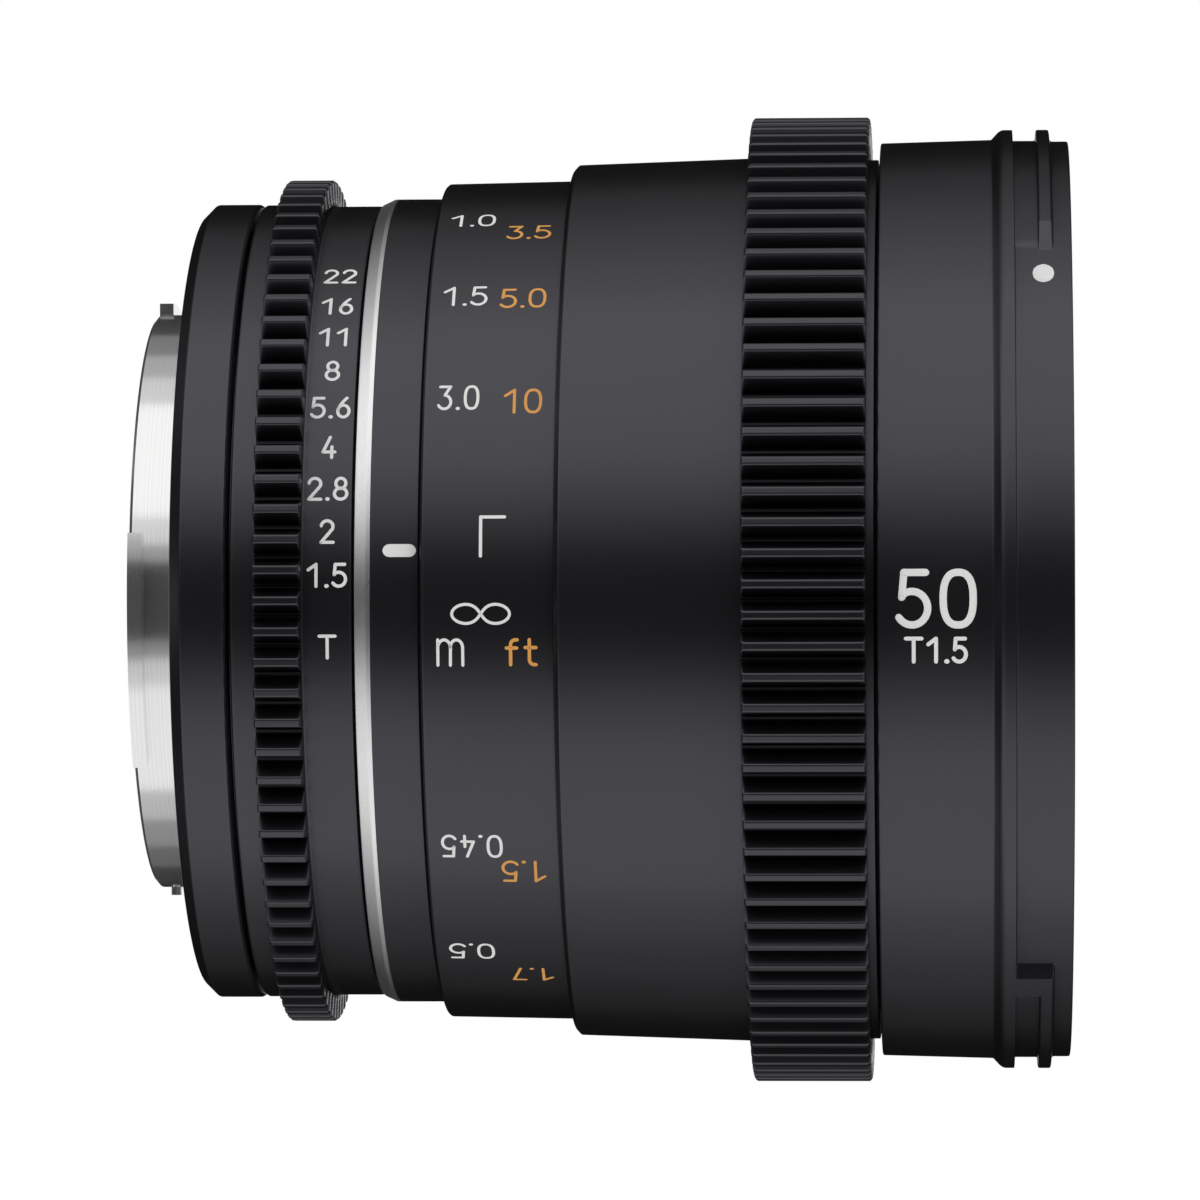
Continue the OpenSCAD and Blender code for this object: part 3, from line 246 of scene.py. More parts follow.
# coated glass: clear, with a thin film that tints what it reflects; a faint haze of dust in the roughness
def glassFinish(name, tint, film, index, filmIndex=1.38, dustSize=0.6, haze=0.012):
    tree, shader = newFinish(name, {"Transmission Weight": 1.0, "IOR": index, "Thin Film Thickness": film,
                                    "Thin Film IOR": filmIndex})
    where = addNode(tree, "ShaderNodeTexCoord")
    skin = addNode(tree, "ShaderNodeGroup", {"Size": dustSize}, node_tree=skinGrain)
    tree.links.new(where.outputs["Object"], skin.inputs["Vector"])
    tree.links.new(rangeNode(tree, skin.outputs["Cloud"], 0.3, 0.7, 0.0, haze), shader.inputs["Roughness"])
    pale = tuple(0.97 * c for c in tint)
    tree.links.new(mixColour(tree, skin.outputs["Cloud"], tint, pale), shader.inputs["Base Color"])


glassFinish("coatedGlass", (0.99, 0.985, 0.97), 118.0, 1.52)
glassFinish("coatedGlassInner", (0.985, 0.985, 0.96), 96.0, 1.55)
print("finishes made:", len(finishes))


# mesh helpers

# millimetre points become metres
def newMesh(name, points, faces, *finishNames):
    mesh = bpy.data.meshes.new(name)
    mesh.from_pydata((np.asarray(points).reshape(-1, 3) * mm).tolist(), [], faces)
    for finish in finishNames:
        mesh.materials.append(finishes[finish])
    return mesh


# a finished piece: edge values and painted valley shade per point, sharp edges by angle
def makePiece(name, points, faces, finish, body, nodes=(), edge=None, sharp=40.0, valleyShade=None):
    mesh = newMesh(name, points, faces, finish)
    for label, values in (("edge", edge), ("valleyShade", valleyShade)):
        if values is not None:
            layer = mesh.attributes.new(label, "FLOAT", "POINT")
            layer.data.foreach_set("value", np.asarray(values, np.float32).ravel())
    mesh.validate()
    mesh.shade_smooth()
    mesh.set_sharp_from_angle(angle=math.radians(sharp))
    piece = addObject(name, mesh)
    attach(piece, body)
    if nodes:
        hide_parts(*nodes)
    return piece


# a piece that takes the place of one node, from its dictionary
def nodePiece(spec, points, faces, edge=None, sharp=40.0, valleyShade=None):
    return makePiece(spec["name"], points, faces, spec["finish"], spec["body"], [spec["node"]], edge,
                     sharp, valleyShade)


# corner C between neighbours P and N becomes C + b(1-s)^2 towards P + b s^2 towards N, s from 0 to 1;
# a plain point on each side ends the worn edge, and only corners that stick out count as edges
def breakCorners(outline, breaks, band=0.16, arcSteps=5):
    c = np.asarray(outline, float)
    toPrev, toNext = np.roll(c, 1, 0) - c, np.roll(c, -1, 0) - c
    lenPrev, lenNext = np.linalg.norm(toPrev, axis=1), np.linalg.norm(toNext, axis=1)
    uPrev, uNext = toPrev / lenPrev[:, None], toNext / lenNext[:, None]
    size = np.minimum(np.broadcast_to(np.asarray(breaks, float), lenPrev.shape), 0.4 * np.minimum(lenPrev, lenNext))
    s = np.linspace(0, 1, arcSteps)[None, :, None]
    b = size[:, None, None]
    curve = c[:, None] + b * (1 - s) ** 2 * uPrev[:, None] + b * s ** 2 * uNext[:, None]
    before = c + uPrev * np.minimum(size + band, 0.46 * lenPrev)[:, None]
    after = c + uNext * np.minimum(size + band, 0.46 * lenNext)[:, None]
    points = np.concatenate([before[:, None], curve, after[:, None]], 1)
    area = np.sum(c[:, 0] * np.roll(c[:, 1], -1) - np.roll(c[:, 0], -1) * c[:, 1])
    bend = uPrev[:, 0] * uNext[:, 1] - uPrev[:, 1] * uNext[:, 0]
    out = (bend * area < 0).astype(float)
    worn = out[:, None] * np.concatenate([[0.0], np.full(arcSteps, 1.0), [0.0]])[None]
    points, worn = points.reshape(-1, 2), worn.ravel()
    if area > 0:
        points, worn = points[::-1], worn[::-1]
    return points, worn


# quads between neighbouring rows of a grid whose rows close round
def ringFaces(index):
    right = np.roll(index, -1, 1)
    return np.stack([index[:-1], index[1:], right[1:], right[:-1]], -1).reshape(-1, 4).tolist()


# quads of a grid that also closes from its last row to its first
def wrapFaces(rows, cols):
    index = np.arange(rows * cols).reshape(rows, cols)
    return ringFaces(np.concatenate([index, index[:1]]))


# a place on the lens: x along the axis, radius r, angle a above the level line of the marked side
def onLens(x, r, a):
    x, r, a = np.broadcast_arrays(x, r, a)
    return np.stack([x, -r * np.cos(a), r * np.sin(a)], -1)


# turned ring: a closed (x, r) outline carried round the axis
roundSteps = 320


def turnedRing(spec):
    profile, worn = breakCorners(spec["outline"], spec["breaks"])
    a = np.arange(roundSteps) * turn / roundSteps
    points = onLens(profile[:, :1], profile[:, 1:], a[None])
    nodePiece(spec, points, wrapFaces(len(profile), len(a)), np.repeat(worn[:, None], len(a), 1))


# fixed and turning rings

black = {"slot": "black_anodised", "finish": "blackAnodised", "breaks": 0.1}
matt = {"slot": "matt_black", "finish": "mattBlack"}
rearHousing = {**black, "name": "rearHousing", "node": "rear_housing", "body": "barrel",
               "outline": [(0.1, 32.05), (0.1, 33.7), (1.1, 34.7), (4.65, 34.7), (4.9, 34.45), (4.9, 32.5),
                           (18.9, 32.5), (18.9, 30.45), (4.9, 30.45), (4.9, 27.0), (1.8, 27.0), (1.8, 32.05)],
               "wall": (32.5, 30.45), "windowX": (10.65, 14.65), "windowArc": (34.9, 102.7)}
accentRing = {"name": "accentRing", "node": "accent_ring", "body": "barrel", "slot": "bright_ring",
              "finish": "brightRing", "breaks": 0.06,
              "outline": [(15.6, 32.55), (15.6, 34.64), (16.6, 35.1), (16.95, 35.1), (16.95, 32.55)]}
indexRing = {**black, "name": "indexRing", "node": "index_ring", "body": "barrel",
             "outline": [(16.95, 32.55), (16.95, 35.1), (20.92, 35.1), (21.02, 35.0), (21.02, 34.72), (20.85, 34.72),
                         (20.85, 30.45), (18.9, 30.45), (18.9, 32.55)]}
distanceRing = {**black, "name": "distanceRing", "node": "focus_scale_ring", "body": "focus",
                "outline": [(21.2, 34.65), (21.2, 36.2), (21.4, 36.4), (32.3, 36.6), (32.3, 34.65)]}
focusSleeve = {**black, "name": "focusSleeve", "node": "focus_barrel", "body": "focus",
               "outline": [(21.3, 32.9), (21.3, 34.6), (32.3, 34.6), (32.3, 37.55), (32.7, 38.0), (47.8, 38.5),
                           (47.8, 38.3), (58.7, 38.3), (58.7, 36.05), (43.0, 36.05), (43.0, 32.9)]}
rearBaffle = {**matt, "name": "rearBaffle", "node": "rear_baffle", "body": "barrel", "breaks": 0.08,
              "outline": [(-3.65, 16.5), (-3.9, 17.25), (-3.9, 22.15), (-2.9, 22.15), (-2.9, 16.5)]}


# a turned ring with a window through one wall: rows are added at the window's ends on both sides of the wall, the
# quads inside it are left out and its four edges get walls
def windowedRing(spec):
    profile, worn = breakCorners(spec["outline"], spec["breaks"])
    starts = []
    for r in spec["wall"]:
        step = np.diff(profile[:, 0]) * (np.abs(profile[:-1, 1] - r) < 0.01)
        k = int(np.argmax(np.abs(step)))
        ends = np.array(spec["windowX"] if step[k] > 0 else spec["windowX"][::-1])
        profile = np.insert(profile, k + 1, np.stack([ends, np.full(2, r)], -1), 0)
        worn = np.insert(worn, k + 1, [0.0, 0.0])
        starts = [row + 2 * (row > k) for row in starts] + [k + 1]
    a = np.unique(np.concatenate([np.arange(roundSteps) * 360 / roundSteps, spec["windowArc"]]))
    left, right = np.searchsorted(a, spec["windowArc"])
    index = np.arange(len(profile) * len(a)).reshape(len(profile), len(a))
    quads = np.array(wrapFaces(*index.shape)).reshape(*index.shape, 4)
    keep = np.ones(index.shape, bool)
    keep[starts, left:right] = False
    top, low = index[starts[0]:starts[0] + 2], index[starts[1]:starts[1] + 2]
    j = np.arange(left, right)
    walls = np.concatenate([
        np.stack([top[0, j + 1], top[0, j], low[1, j], low[1, j + 1]], -1),
        np.stack([top[1, j], top[1, j + 1], low[0, j + 1], low[0, j]], -1),
        [[top[0, left], top[1, left], low[0, left], low[1, left]]],
        [[top[1, right], top[0, right], low[1, right], low[0, right]]]])
    points = onLens(profile[:, :1], profile[:, 1:], np.radians(a)[None])
    faces = np.concatenate([quads[keep], walls]).tolist()
    nodePiece(spec, points, faces, np.repeat(worn[:, None], len(a), 1))


windowedRing(rearHousing)
for spec in (accentRing, indexRing, distanceRing, focusSleeve, rearBaffle):
    turnedRing(spec)
print("turned rings made")


# geared rings: columns follow the tooth outline, rows follow the ring's section, and the radius is the
# smaller of the tooth's and the section's

# straight-flanked teeth: tip at module (teeth + 2) / 2, root at module (teeth - 2.5) / 2, flanks at the pressure
# angle; each corner gets three break points with a plain point on either side
def toothOutline(teeth, module, tipBreak, rootBreak, pressure=20.0, beside=0.05, under=0.004):
    tip, root = module * (teeth + 2) / 2 - under, module * (teeth - 2.5) / 2
    slope = math.tan(math.radians(pressure))
    tipHalf = (math.pi / 4 - slope) * module / tip
    rootHalf = (math.pi / 4 + 1.25 * slope) * module / root
    pitch = turn / teeth
    flank = np.array([rootHalf - tipHalf, 0]) * root + np.array([0, root - tip])
    flank /= np.linalg.norm(flank)
    corners = [(-rootHalf, root, -1, rootBreak), (-tipHalf, tip, 1, tipBreak)]
    a, r = [], []
    for angle, high, side, size in corners:
        def downFlank(d):
            return (angle - side * flank[0] * d / high, high + side * flank[1] * d)
        def alongFlat(d):
            return (angle + side * d / high, high)
        first, last = downFlank(size), alongFlat(size)
        middle = ((first[0] + last[0] + 2 * angle) / 4, (first[1] + last[1] + 2 * high) / 4)
        row = [downFlank(size + beside), first, middle, last, alongFlat(size + beside)]
        for p in row if side > 0 else row[::-1]:
            a.append(p[0])
            r.append(p[1])
    a, r = np.array(a), np.array(r)
    a, r = np.concatenate([a, -a[::-1]]), np.concatenate([r, r[::-1]])
    edge = np.array([0, 0, 0, 0, 0, 0, 1, 1, 1, 0.0])
    edge = np.concatenate([edge, edge[::-1]])
    allAngles = (a[None] + (np.arange(teeth) * pitch)[:, None]).ravel()
    return allAngles, np.tile(r, teeth), np.tile(edge, teeth)


# painted shade in the gear valleys runs from 0 on the upper flanks to 1 at the bottom of the valleys
def gearedRing(spec, sharp=50.0, valleyFrom=0.45, valleyEnd=0.7):
    a, tooth, worn = toothOutline(spec["teeth"], spec["module"], spec["tipBreak"], spec["rootBreak"])
    rows = np.array(spec["section"], float)
    r = np.minimum(rows[:, 1:2], tooth[None])
    points = onLens(rows[:, :1], r, math.pi - a[None])
    capped = rows[:, 1:2] < tooth[None]
    edge = np.where(capped, rows[:, 2:3], np.maximum(worn[None], rows[:, 2:3]))
    tip, root = tooth.max(), tooth.min()
    # painted shade: darkest at the bottoms of the valleys, none on the upper flanks
    valleyShade = np.clip((tip - valleyFrom - r) / (tip - root - valleyEnd), 0, 1) * (r > root - 0.01)
    points, edge, valleyShade = points[:, ::-1], edge[:, ::-1], valleyShade[:, ::-1]
    piece = nodePiece(spec, points, wrapFaces(len(rows), len(a)), edge, sharp, valleyShade)
    normals = piece.modifiers.new("evenNormals", "WEIGHTED_NORMAL")
    normals.keep_sharp = True
    normals.weight = 80


free = 99.0  # a row that the section doesn't limit
gear = {**black, "finish": "gearAnodised", "module": 0.8, "rootBreak": 0.12}
apertureGear = {**gear, "name": "apertureRing", "node": "aperture_ring", "body": "aperture", "teeth": 90,
                "tipBreak": 0.12,
                "section": [(5.25, 32.55, 0), (5.25, 34.42, 0.5), (5.3, 34.56, 1), (5.42, 34.65, 0.6),
                            (5.6, 34.65, 0), (7.1, 34.65, 0), (7.22, 34.65, 0), (7.3, 34.72, 0), (7.3, 36.5, 0.2),
                            (7.33, 36.62, 0.9), (7.4, 36.72, 1), (7.5, 36.8, 0.6), (7.7, free, 0), (10.8, free, 0),
                            (11.0, 36.8, 0.6), (11.1, 36.72, 1), (11.17, 36.62, 0.9), (11.2, 36.5, 0.2),
                            (11.2, 34.57, 0), (11.28, 34.5, 0), (11.4, 34.5, 0), (15.05, 34.5, 0),
                            (15.23, 34.49, 0.6), (15.34, 34.44, 1), (15.4, 34.34, 0.5), (15.4, 32.55, 0)]}
focusGear = {**gear, "name": "focusGear", "node": "focus_gear_ring", "body": "focus", "teeth": 103,
             "tipBreak": 0.13,
             "section": [(47.8, 38.35, 0), (47.8, 41.65, 0.2), (47.84, 41.8, 0.9), (47.93, 41.92, 1),
                         (48.05, 42.0, 0.6), (48.3, free, 0), (57.5, free, 0), (57.75, 42.0, 0.6),
                         (57.87, 41.92, 1), (57.96, 41.8, 0.9), (58.0, 41.65, 0.2), (58.0, 38.35, 0)]}
for spec in (apertureGear, focusGear):
    gearedRing(spec)
print("geared rings made")


# front barrel: a turned section whose lug and stop rows rise only inside their angles; the filter thread is
# a triangle wave in x / pitch - angle / turn cut into the bore. rear, lip and bore rows are (x, radius, worn);
# wall, groove and lug rows are (x, share of the rise, worn)
frontBarrel = {**black, "name": "frontBarrel", "node": "front_barrel", "body": "barrel", "sharp": 38.0,
               "groove": 39.82, "crest": 40.84, "floorX": 70.5,
               "lugFrom": 47.0, "lugTo": 128.9, "endArc": 3.7, "rampArc": 1.15, "shelfArc": 0.9, "step": 0.12,
               "raised": 0.07, "pitch": 0.75, "threadDepth": 0.34, "threadR": 38.1, "threadFront": 74.86,
               "threadBack": 72.1, "runOut": 0.2,
               "rear": [(61.3, 28.3, 0), (59.3, 28.3, 0), (59.3, 38.8, 0), (58.9, 38.82, 0), (58.9, 39.44, 0),
                        (58.91, 39.61, 0.6), (58.95, 39.69, 1), (59.03, 39.74, 0.8), (59.2, 39.745, 0),
                        (68.2, 39.98, 0), (68.44, 39.99, 0), (68.5, 40.03, 0), (68.95, 40.52, 0), (69.12, 40.67, 0.2),
                        (69.28, 40.77, 0.5), (69.44, 40.825, 0.6), (69.6, 40.84, 0.2), (70.1, 40.84, 0),
                        (70.28, 40.837, 0)],
               "wall": [(70.3, 0.88), (70.31, 0.22), (70.36, 0.08)],
               "lugBack": [(72.15, 0, 0), (72.24, 0.1, 0), (72.28, 0.4, 0), (72.32, 0.84, 0.5), (72.37, 0.95, 0.8),
                           (72.45, 1, 0.4), (72.6, 1, 0)],
               "lugFront": [(73.2, 1, 0), (73.32, 1, 0.3), (73.39, 0.95, 0.6), (73.44, 0.84, 0.5), (73.49, 0.3, 0),
                            (73.55, 0.08, 0)],
               "lip": [(73.7, 39.82, 0), (74.8, 39.82, 0), (74.95, 39.82, 0.5), (75.04, 39.79, 1), (75.08, 39.74, 1),
                       (75.1, 39.66, 0.4), (75.1, 39.45, 0), (75.1, 38.6, 0), (75.09, 38.44, 1), (75.02, 38.32, 1),
                       (74.94, 38.24, 0.6)],
               "bore": [(72.1, 38.1, 0), (72.09, 38.48, 0), (71.5, 38.5, 0), (71.5, 37.1, 0), (70.6, 37.1, 0),
                        (70.6, 35.9, 0), (61.3, 35.9, 0)]}

spec = frontBarrel
step = spec["step"]
lugStart, lugEnd = spec["lugFrom"], spec["lugTo"]
leadEnd, stopStart = lugStart + spec["endArc"], lugEnd - spec["endArc"]
rampEnd, shelf = lugEnd + spec["rampArc"], lugStart + spec["shelfArc"]
edges = np.array([lugStart, leadEnd, stopStart, lugEnd, rampEnd, shelf])
near = (edges[:, None] + np.array([-step, 0, step])[None]).ravel()
columns = np.radians(np.unique(np.concatenate([np.arange(0, 360, 1.0), near, near + 180])))
local = np.degrees(columns) % 180


# 1 between the two middle angles, falling to 0 at the outer two
def window(*angles):
    return np.interp(local, angles, [0, 1, 1, 0], 0, 0)


lug = window(lugStart, leadEnd, lugEnd, rampEnd)
stop = window(stopStart - step, stopStart, lugEnd, rampEnd)
beside = window(shelf - step, shelf + step, lugEnd, rampEnd)
rise = spec["crest"] - spec["groove"]
floorLift = np.maximum(stop, spec["raised"] / rise * beside)  # the groove's floor is a little higher beside a lug
rows = []


# one row round the barrel: x, radius with a share of the rise added, and wear
def addRow(x, r, lift=0.0, worn=0.0):
    rows.append(np.broadcast_arrays(float(x), r + rise * lift, worn, columns)[:3])


for x, r, worn in spec["rear"]:
    addRow(x, r, 0.0, worn)
for x, share in spec["wall"]:
    addRow(x, spec["groove"] + share * rise, (1 - share) * stop)
addRow(spec["floorX"], spec["groove"], floorLift)
for x, share, worn in spec["lugBack"]:
    addRow(x, spec["groove"], np.maximum(floorLift, share * lug), worn * lug)
for x, share, worn in spec["lugFront"]:
    addRow(x, spec["groove"], share * lug, worn * lug)
for x, r, worn in spec["lip"]:
    addRow(x, r, 0.0, worn)
for x in np.arange(spec["threadFront"], spec["threadBack"] + 0.02, -spec["pitch"] / 8):
    phase = (x / spec["pitch"] - columns / turn) % 1.0
    wave = np.clip(1.5 * (1 - np.abs(2 * phase - 1)) - 0.25, 0, 1)
    fade = np.clip((x - spec["threadBack"]) / spec["runOut"], 0, 1)
    addRow(x, spec["threadR"] + spec["threadDepth"] * wave * fade, 0.0, 0.5 * (wave < 0.05))
for x, r, worn in spec["bore"]:
    addRow(x, r, 0.0, worn)
rowX, rowR, rowWorn = np.array(rows).transpose(1, 0, 2)
nodePiece(spec, onLens(rowX, rowR, columns[None]), wrapFaces(*rowX.shape), rowWorn, spec["sharp"])
print("front barrel made")


# trim ring inside the thread: a shallow cone with fine stepped grooves that keep it dark
trimRing = {**matt, "name": "frontTrimRing", "node": "front_trim_ring", "body": "barrel",
            "breaks": 0.04, "grooves": 15, "depth": 0.28, "grooved": (35.3, 27.6),
            "rim": (71.5, 35.8), "throat": (70.6, 27.0)}
(rimX, rimR), (throatX, throatR) = trimRing["rim"], trimRing["throat"]
grooveR = np.linspace(*trimRing["grooved"], trimRing["grooves"] * 2 + 1)
grooveX = rimX - (rimX - throatX) * (rimR - grooveR) / (rimR - throatR)
grooveX -= trimRing["depth"] * (np.arange(len(grooveR)) % 2)
trimRing["outline"] = [(70.6, 37.05), (71.5, 37.05), (rimX, rimR), *zip(grooveX, grooveR), (throatX, throatR),
                       (69.7, 27.0), (70.6, 35.85)]
turnedRing(trimRing)


# glass elements from the front of the lens: edge radius, then vertex and curve of the front and of the rear face
glass = {}
for name, node, edgeR, x, curve, backX, backCurve in [
        ("frontElement", "front_element", 22.6, 60.6, 46.0, 54.8, 160.0),
        ("doubletFront", "doublet_front_element", 20.0, 54.2, 42.0, 46.2, -300.0),
        ("doubletHollow", "doublet_hollow_element", 20.0, 46.18, -300.0, 43.68, 30.0),
        ("rearHollow", "rear_hollow_element", 18.0, 24.5, -60.0, 22.9, 60.0),
        ("rearPair", "rear_pair_element", 18.0, 22.88, 60.0, 14.88, -40.0),
        ("thirdFront", "third_group_element", 17.1, 14.28, 60.0, 8.28, -60.0),
        ("thirdFlint", "third_group_flint", 17.1, 8.26, -60.0, 6.86, 150.0),
        ("fieldElement", "field_element", 16.2, 6.26, 80.0, 2.06, -80.0),
        ("rearElement", "rear_element", 15.3, 1.46, 100.0, -2.14, -120.0)]:
    glass[name] = {"name": name, "node": node, "body": "carriage", "slot": "coated_glass",
                   "finish": "coatedGlass" if name in ("frontElement", "rearElement") else "coatedGlassInner",
                   "edgeR": edgeR, "x": x, "curve": curve, "backX": backX, "backCurve": backCurve}


# depth of an arc at radius r: curve - sqrt(curve^2 - r^2), with the curve's sign
def sag(curve, r):
    return np.sign(curve) * (abs(curve) - np.sqrt(curve ** 2 - r ** 2))


# front cell: its seats follow the glass with a little play
frontCell = {**matt, "name": "frontCell", "node": "front_cell", "body": "carriage", "breaks": 0.1,
             "play": 0.02, "fit": 0.05, "lipR": 18.8, "skirt": 2.0, "shoulderX": 54.0, "frontX": 61.3,
             "backR": 23.95, "frontR": 27.9, "mouthR": 27.2, "mouthDepth": 2.05}
retainer = {**matt, "name": "frontRetainer", "node": "front_retaining_ring", "body": "carriage",
            "breaks": 0.1, "innerR": 20.9, "topR": 21.7, "high": 1.8, "lipHigh": 0.8,
            "slotHalf": 2.6, "slotDepth": 0.8, "slotEdge": 0.15, "slotFrom": 0.9}
spec, first, second, third = frontCell, glass["frontElement"], glass["doubletFront"], glass["doubletHollow"]
retainerBack = first["x"] - sag(first["curve"], retainer["innerR"]) + spec["play"]
frontSeat = first["backX"] - sag(first["backCurve"], first["edgeR"]) - spec["play"]
doubletSeat = second["x"] - sag(second["curve"], spec["lipR"]) + spec["play"]
cellBack = third["backX"] - sag(third["backCurve"], third["edgeR"]) - spec["skirt"]
frontBore, doubletBore = first["edgeR"] + spec["fit"], second["edgeR"] + spec["fit"]
spec["outline"] = [(cellBack, doubletBore), (cellBack, spec["backR"]), (spec["shoulderX"], spec["backR"]),
                   (spec["shoulderX"], spec["frontR"]), (spec["frontX"], spec["frontR"]),
                   (spec["frontX"], spec["mouthR"]), (retainerBack + spec["mouthDepth"], frontBore),
                   (frontSeat, frontBore), (frontSeat, spec["lipR"]), (doubletSeat, spec["lipR"]),
                   (doubletSeat, doubletBore)]
turnedRing(frontCell)

# retaining ring: two slots for the spanner are cut into its front face
spec = retainer
front = retainerBack + spec["high"]
outline = [(retainerBack, spec["innerR"]), (retainerBack, first["edgeR"]), (front, first["edgeR"]),
           (front, spec["topR"]), (retainerBack + spec["lipHigh"], spec["innerR"])]
profile, worn = breakCorners(outline, spec["breaks"])
slotSteps = spec["slotEdge"] * np.array([-1.0, 0.0, 1.0])
cuts = np.concatenate([90 + spec["slotHalf"] + slotSteps, 90 - spec["slotHalf"] + slotSteps])
a = np.unique(np.concatenate([np.arange(0, 360, 1.0), cuts, cuts + 180]))
inSlot = np.interp(np.abs(a % 180 - 90), spec["slotHalf"] + slotSteps[[0, 2]], [1, 0])
frontShare = np.clip((profile[:, :1] - retainerBack - spec["slotFrom"]) / (spec["high"] - spec["slotFrom"]), 0, 1)
points = onLens(profile[:, :1] - spec["slotDepth"] * frontShare * inSlot[None], profile[:, 1:], np.radians(a)[None])
nodePiece(spec, points, wrapFaces(len(profile), len(a)), np.repeat(worn[:, None], len(a), 1))
print("front cell, trim and retaining ring made")


# glass element: radius r from the pole to the rim on the front arc, back from the rim to the pole on the rear
# arc, with x = vertex - sag of the arc at r
def lensElement(spec, around=160, rings=22, chamfer=0.15, sharp=30.0):
    edgeR, x, backX = spec["edgeR"], spec["x"], spec["backX"]
    r = edgeR * np.sqrt(np.linspace(0, 1, rings + 1))[1:]
    front, back = x - sag(spec["curve"], r), backX - sag(spec["backCurve"], r)
    rowX = np.concatenate([back, [back[-1] + chamfer, front[-1] - chamfer], front[::-1]])
    rowR = np.concatenate([r[:-1], [edgeR - chamfer, edgeR, edgeR, edgeR - chamfer], r[:-1][::-1]])
    a = np.arange(around) * turn / around
    ringPoints = onLens(rowX[:, None], rowR[:, None], a[None]).reshape(-1, 3)
    points = np.concatenate([ringPoints, [[backX, 0, 0], [x, 0, 0]]])
    index = np.arange(len(rowX) * around).reshape(len(rowX), around)
    right = np.roll(index, -1, 1)
    backFan = np.stack([np.full(around, len(ringPoints)), index[0], right[0]], -1).tolist()
    frontFan = np.stack([index[-1], np.full(around, len(ringPoints) + 1), right[-1]], -1).tolist()
    nodePiece(spec, points, ringFaces(index) + backFan + frontFan, None, sharp)


for spec in glass.values():
    lensElement(spec)
print("glass made:", len(glass))


# markings: each character is a few pen strokes in a box one high, drawn as closed ribbons wrapped on the ring

# closed oval: cosine and sine raised to 2 / power, so that more power squares it up
def oval(cx, cy, rx, ry, power=2.0, count=40):
    a = np.arange(count) * turn / count
    unit = np.stack([np.cos(a), np.sin(a)], -1)
    return np.array([cx, cy]) + np.array([rx, ry]) * np.sign(unit) * np.abs(unit) ** (2 / power)


# part of an ellipse from one angle to another
def bow(cx, cy, rx, ry, start, stop, count=22):
    a = np.radians(np.linspace(start, stop, count))
    return np.stack([cx + rx * np.cos(a), cy + ry * np.sin(a)], -1)


def join(*parts):
    return np.concatenate([np.asarray(p, float).reshape(-1, 2) for p in parts])


# one curve from p to r that leaves and arrives towards q: p (1-s)^2 + 2 q s (1-s) + r s^2
def bend(p, q, r, count=14):
    s = np.linspace(0, 1, count)[:, None]
    return (1 - s) ** 2 * np.array(p) + 2 * s * (1 - s) * np.array(q) + s ** 2 * np.array(r)


# each entry: box width, then (points, closed) strokes
glyphs = {
    "0": (0.60, [(oval(0.30, 0.5, 0.30, 0.5, 2.5), True)]),
    "1": (0.53, [(join((0, 0.75), (0.36, 1), (0.36, 0)), False)]),
    "2": (0.55, [(join(bow(0.27, 0.735, 0.27, 0.265, 172, -28), (0.0, 0.0), (0.55, 0)), False)]),
    "3": (0.54, [(join((0.035, 1), (0.515, 1), (0.25, 0.61), bow(0.235, 0.305, 0.305, 0.305, 78, -150)), False)]),
    "4": (0.54, [(join((0.31, 1), (0.0, 0.27), (0.54, 0.27)), False), (join((0.40, 0.52), (0.40, 0)), False)]),
    "5": (0.56, [(join((0.515, 1), (0.085, 1), (0.042, 0.53), bow(0.245, 0.32, 0.315, 0.32, 122, -146)), False)]),
    "6": (0.52, [(oval(0.26, 0.31, 0.26, 0.31), True), (bend((0.40, 1), (0.12, 0.72), (0.012, 0.38)), False)]),
    "7": (0.48, [(join((0, 1), (0.48, 1), (0.17, 0)), False)]),
    "8": (0.57, [(oval(0.285, 0.755, 0.23, 0.245), True), (oval(0.285, 0.265, 0.285, 0.265), True)]),
    ".": (0.02, [(join((0, 0.01), (0.02, 0.01)), False)]),
    "T": (0.72, [(join((0, 1), (0.72, 1)), False), (join((0.36, 1), (0.36, 0)), False)]),
    "m": (0.98, [(join((0, 0), (0, 1)), False), (join(bow(0.25, 0.68, 0.25, 0.32, 180, 0), (0.49, 0)), False),
                 (join(bow(0.735, 0.68, 0.245, 0.32, 180, 0), (0.98, 0)), False)]),
    "f": (0.42, [(join((0.42, 1), bow(0.36, 0.79, 0.2, 0.21, 95, 180), (0.16, 0)), False),
                 (join((0, 0.67), (0.40, 0.67)), False)]),
    "t": (0.42, [(join((0.16, 1), bow(0.37, 0.2, 0.21, 0.2, 180, 275), (0.42, 0)), False),
                 (join((0, 0.69), (0.42, 0.69)), False)]),
}


# an open pen path is lifted at corners sharper than the limit, so each stroke bends gently
def splitSharp(path, limit=35.0):
    path = np.asarray(path, float)
    step = np.diff(path, axis=0)
    heading = np.degrees(np.arctan2(step[:, 1], step[:, 0]))
    bendBy = np.abs((np.diff(heading) + 180) % 360 - 180)
    cuts = np.flatnonzero(bendBy > limit) + 1
    starts, ends = np.concatenate([[0], cuts]), np.concatenate([cuts, [len(path) - 1]])
    return [path[i:j + 1] for i, j in zip(starts, ends)]


# points along a pen path no further apart than the step, so that long strokes follow the ring's curve
def evenPath(path, closed, step=0.3):
    path = np.asarray(path, float)
    ends = np.concatenate([path, path[:1]]) if closed else path
    length = np.linalg.norm(np.diff(ends, axis=0), axis=1)
    count = np.maximum(np.ceil(length / step).astype(int), 1)
    owner = np.repeat(np.arange(len(count)), count)
    share = (np.arange(len(owner)) - np.repeat(np.cumsum(count) - count, count)) / np.repeat(count, count)
    points = ends[owner] + (ends[owner + 1] - ends[owner]) * share[:, None]
    return points if closed else np.concatenate([points, ends[-1:]])


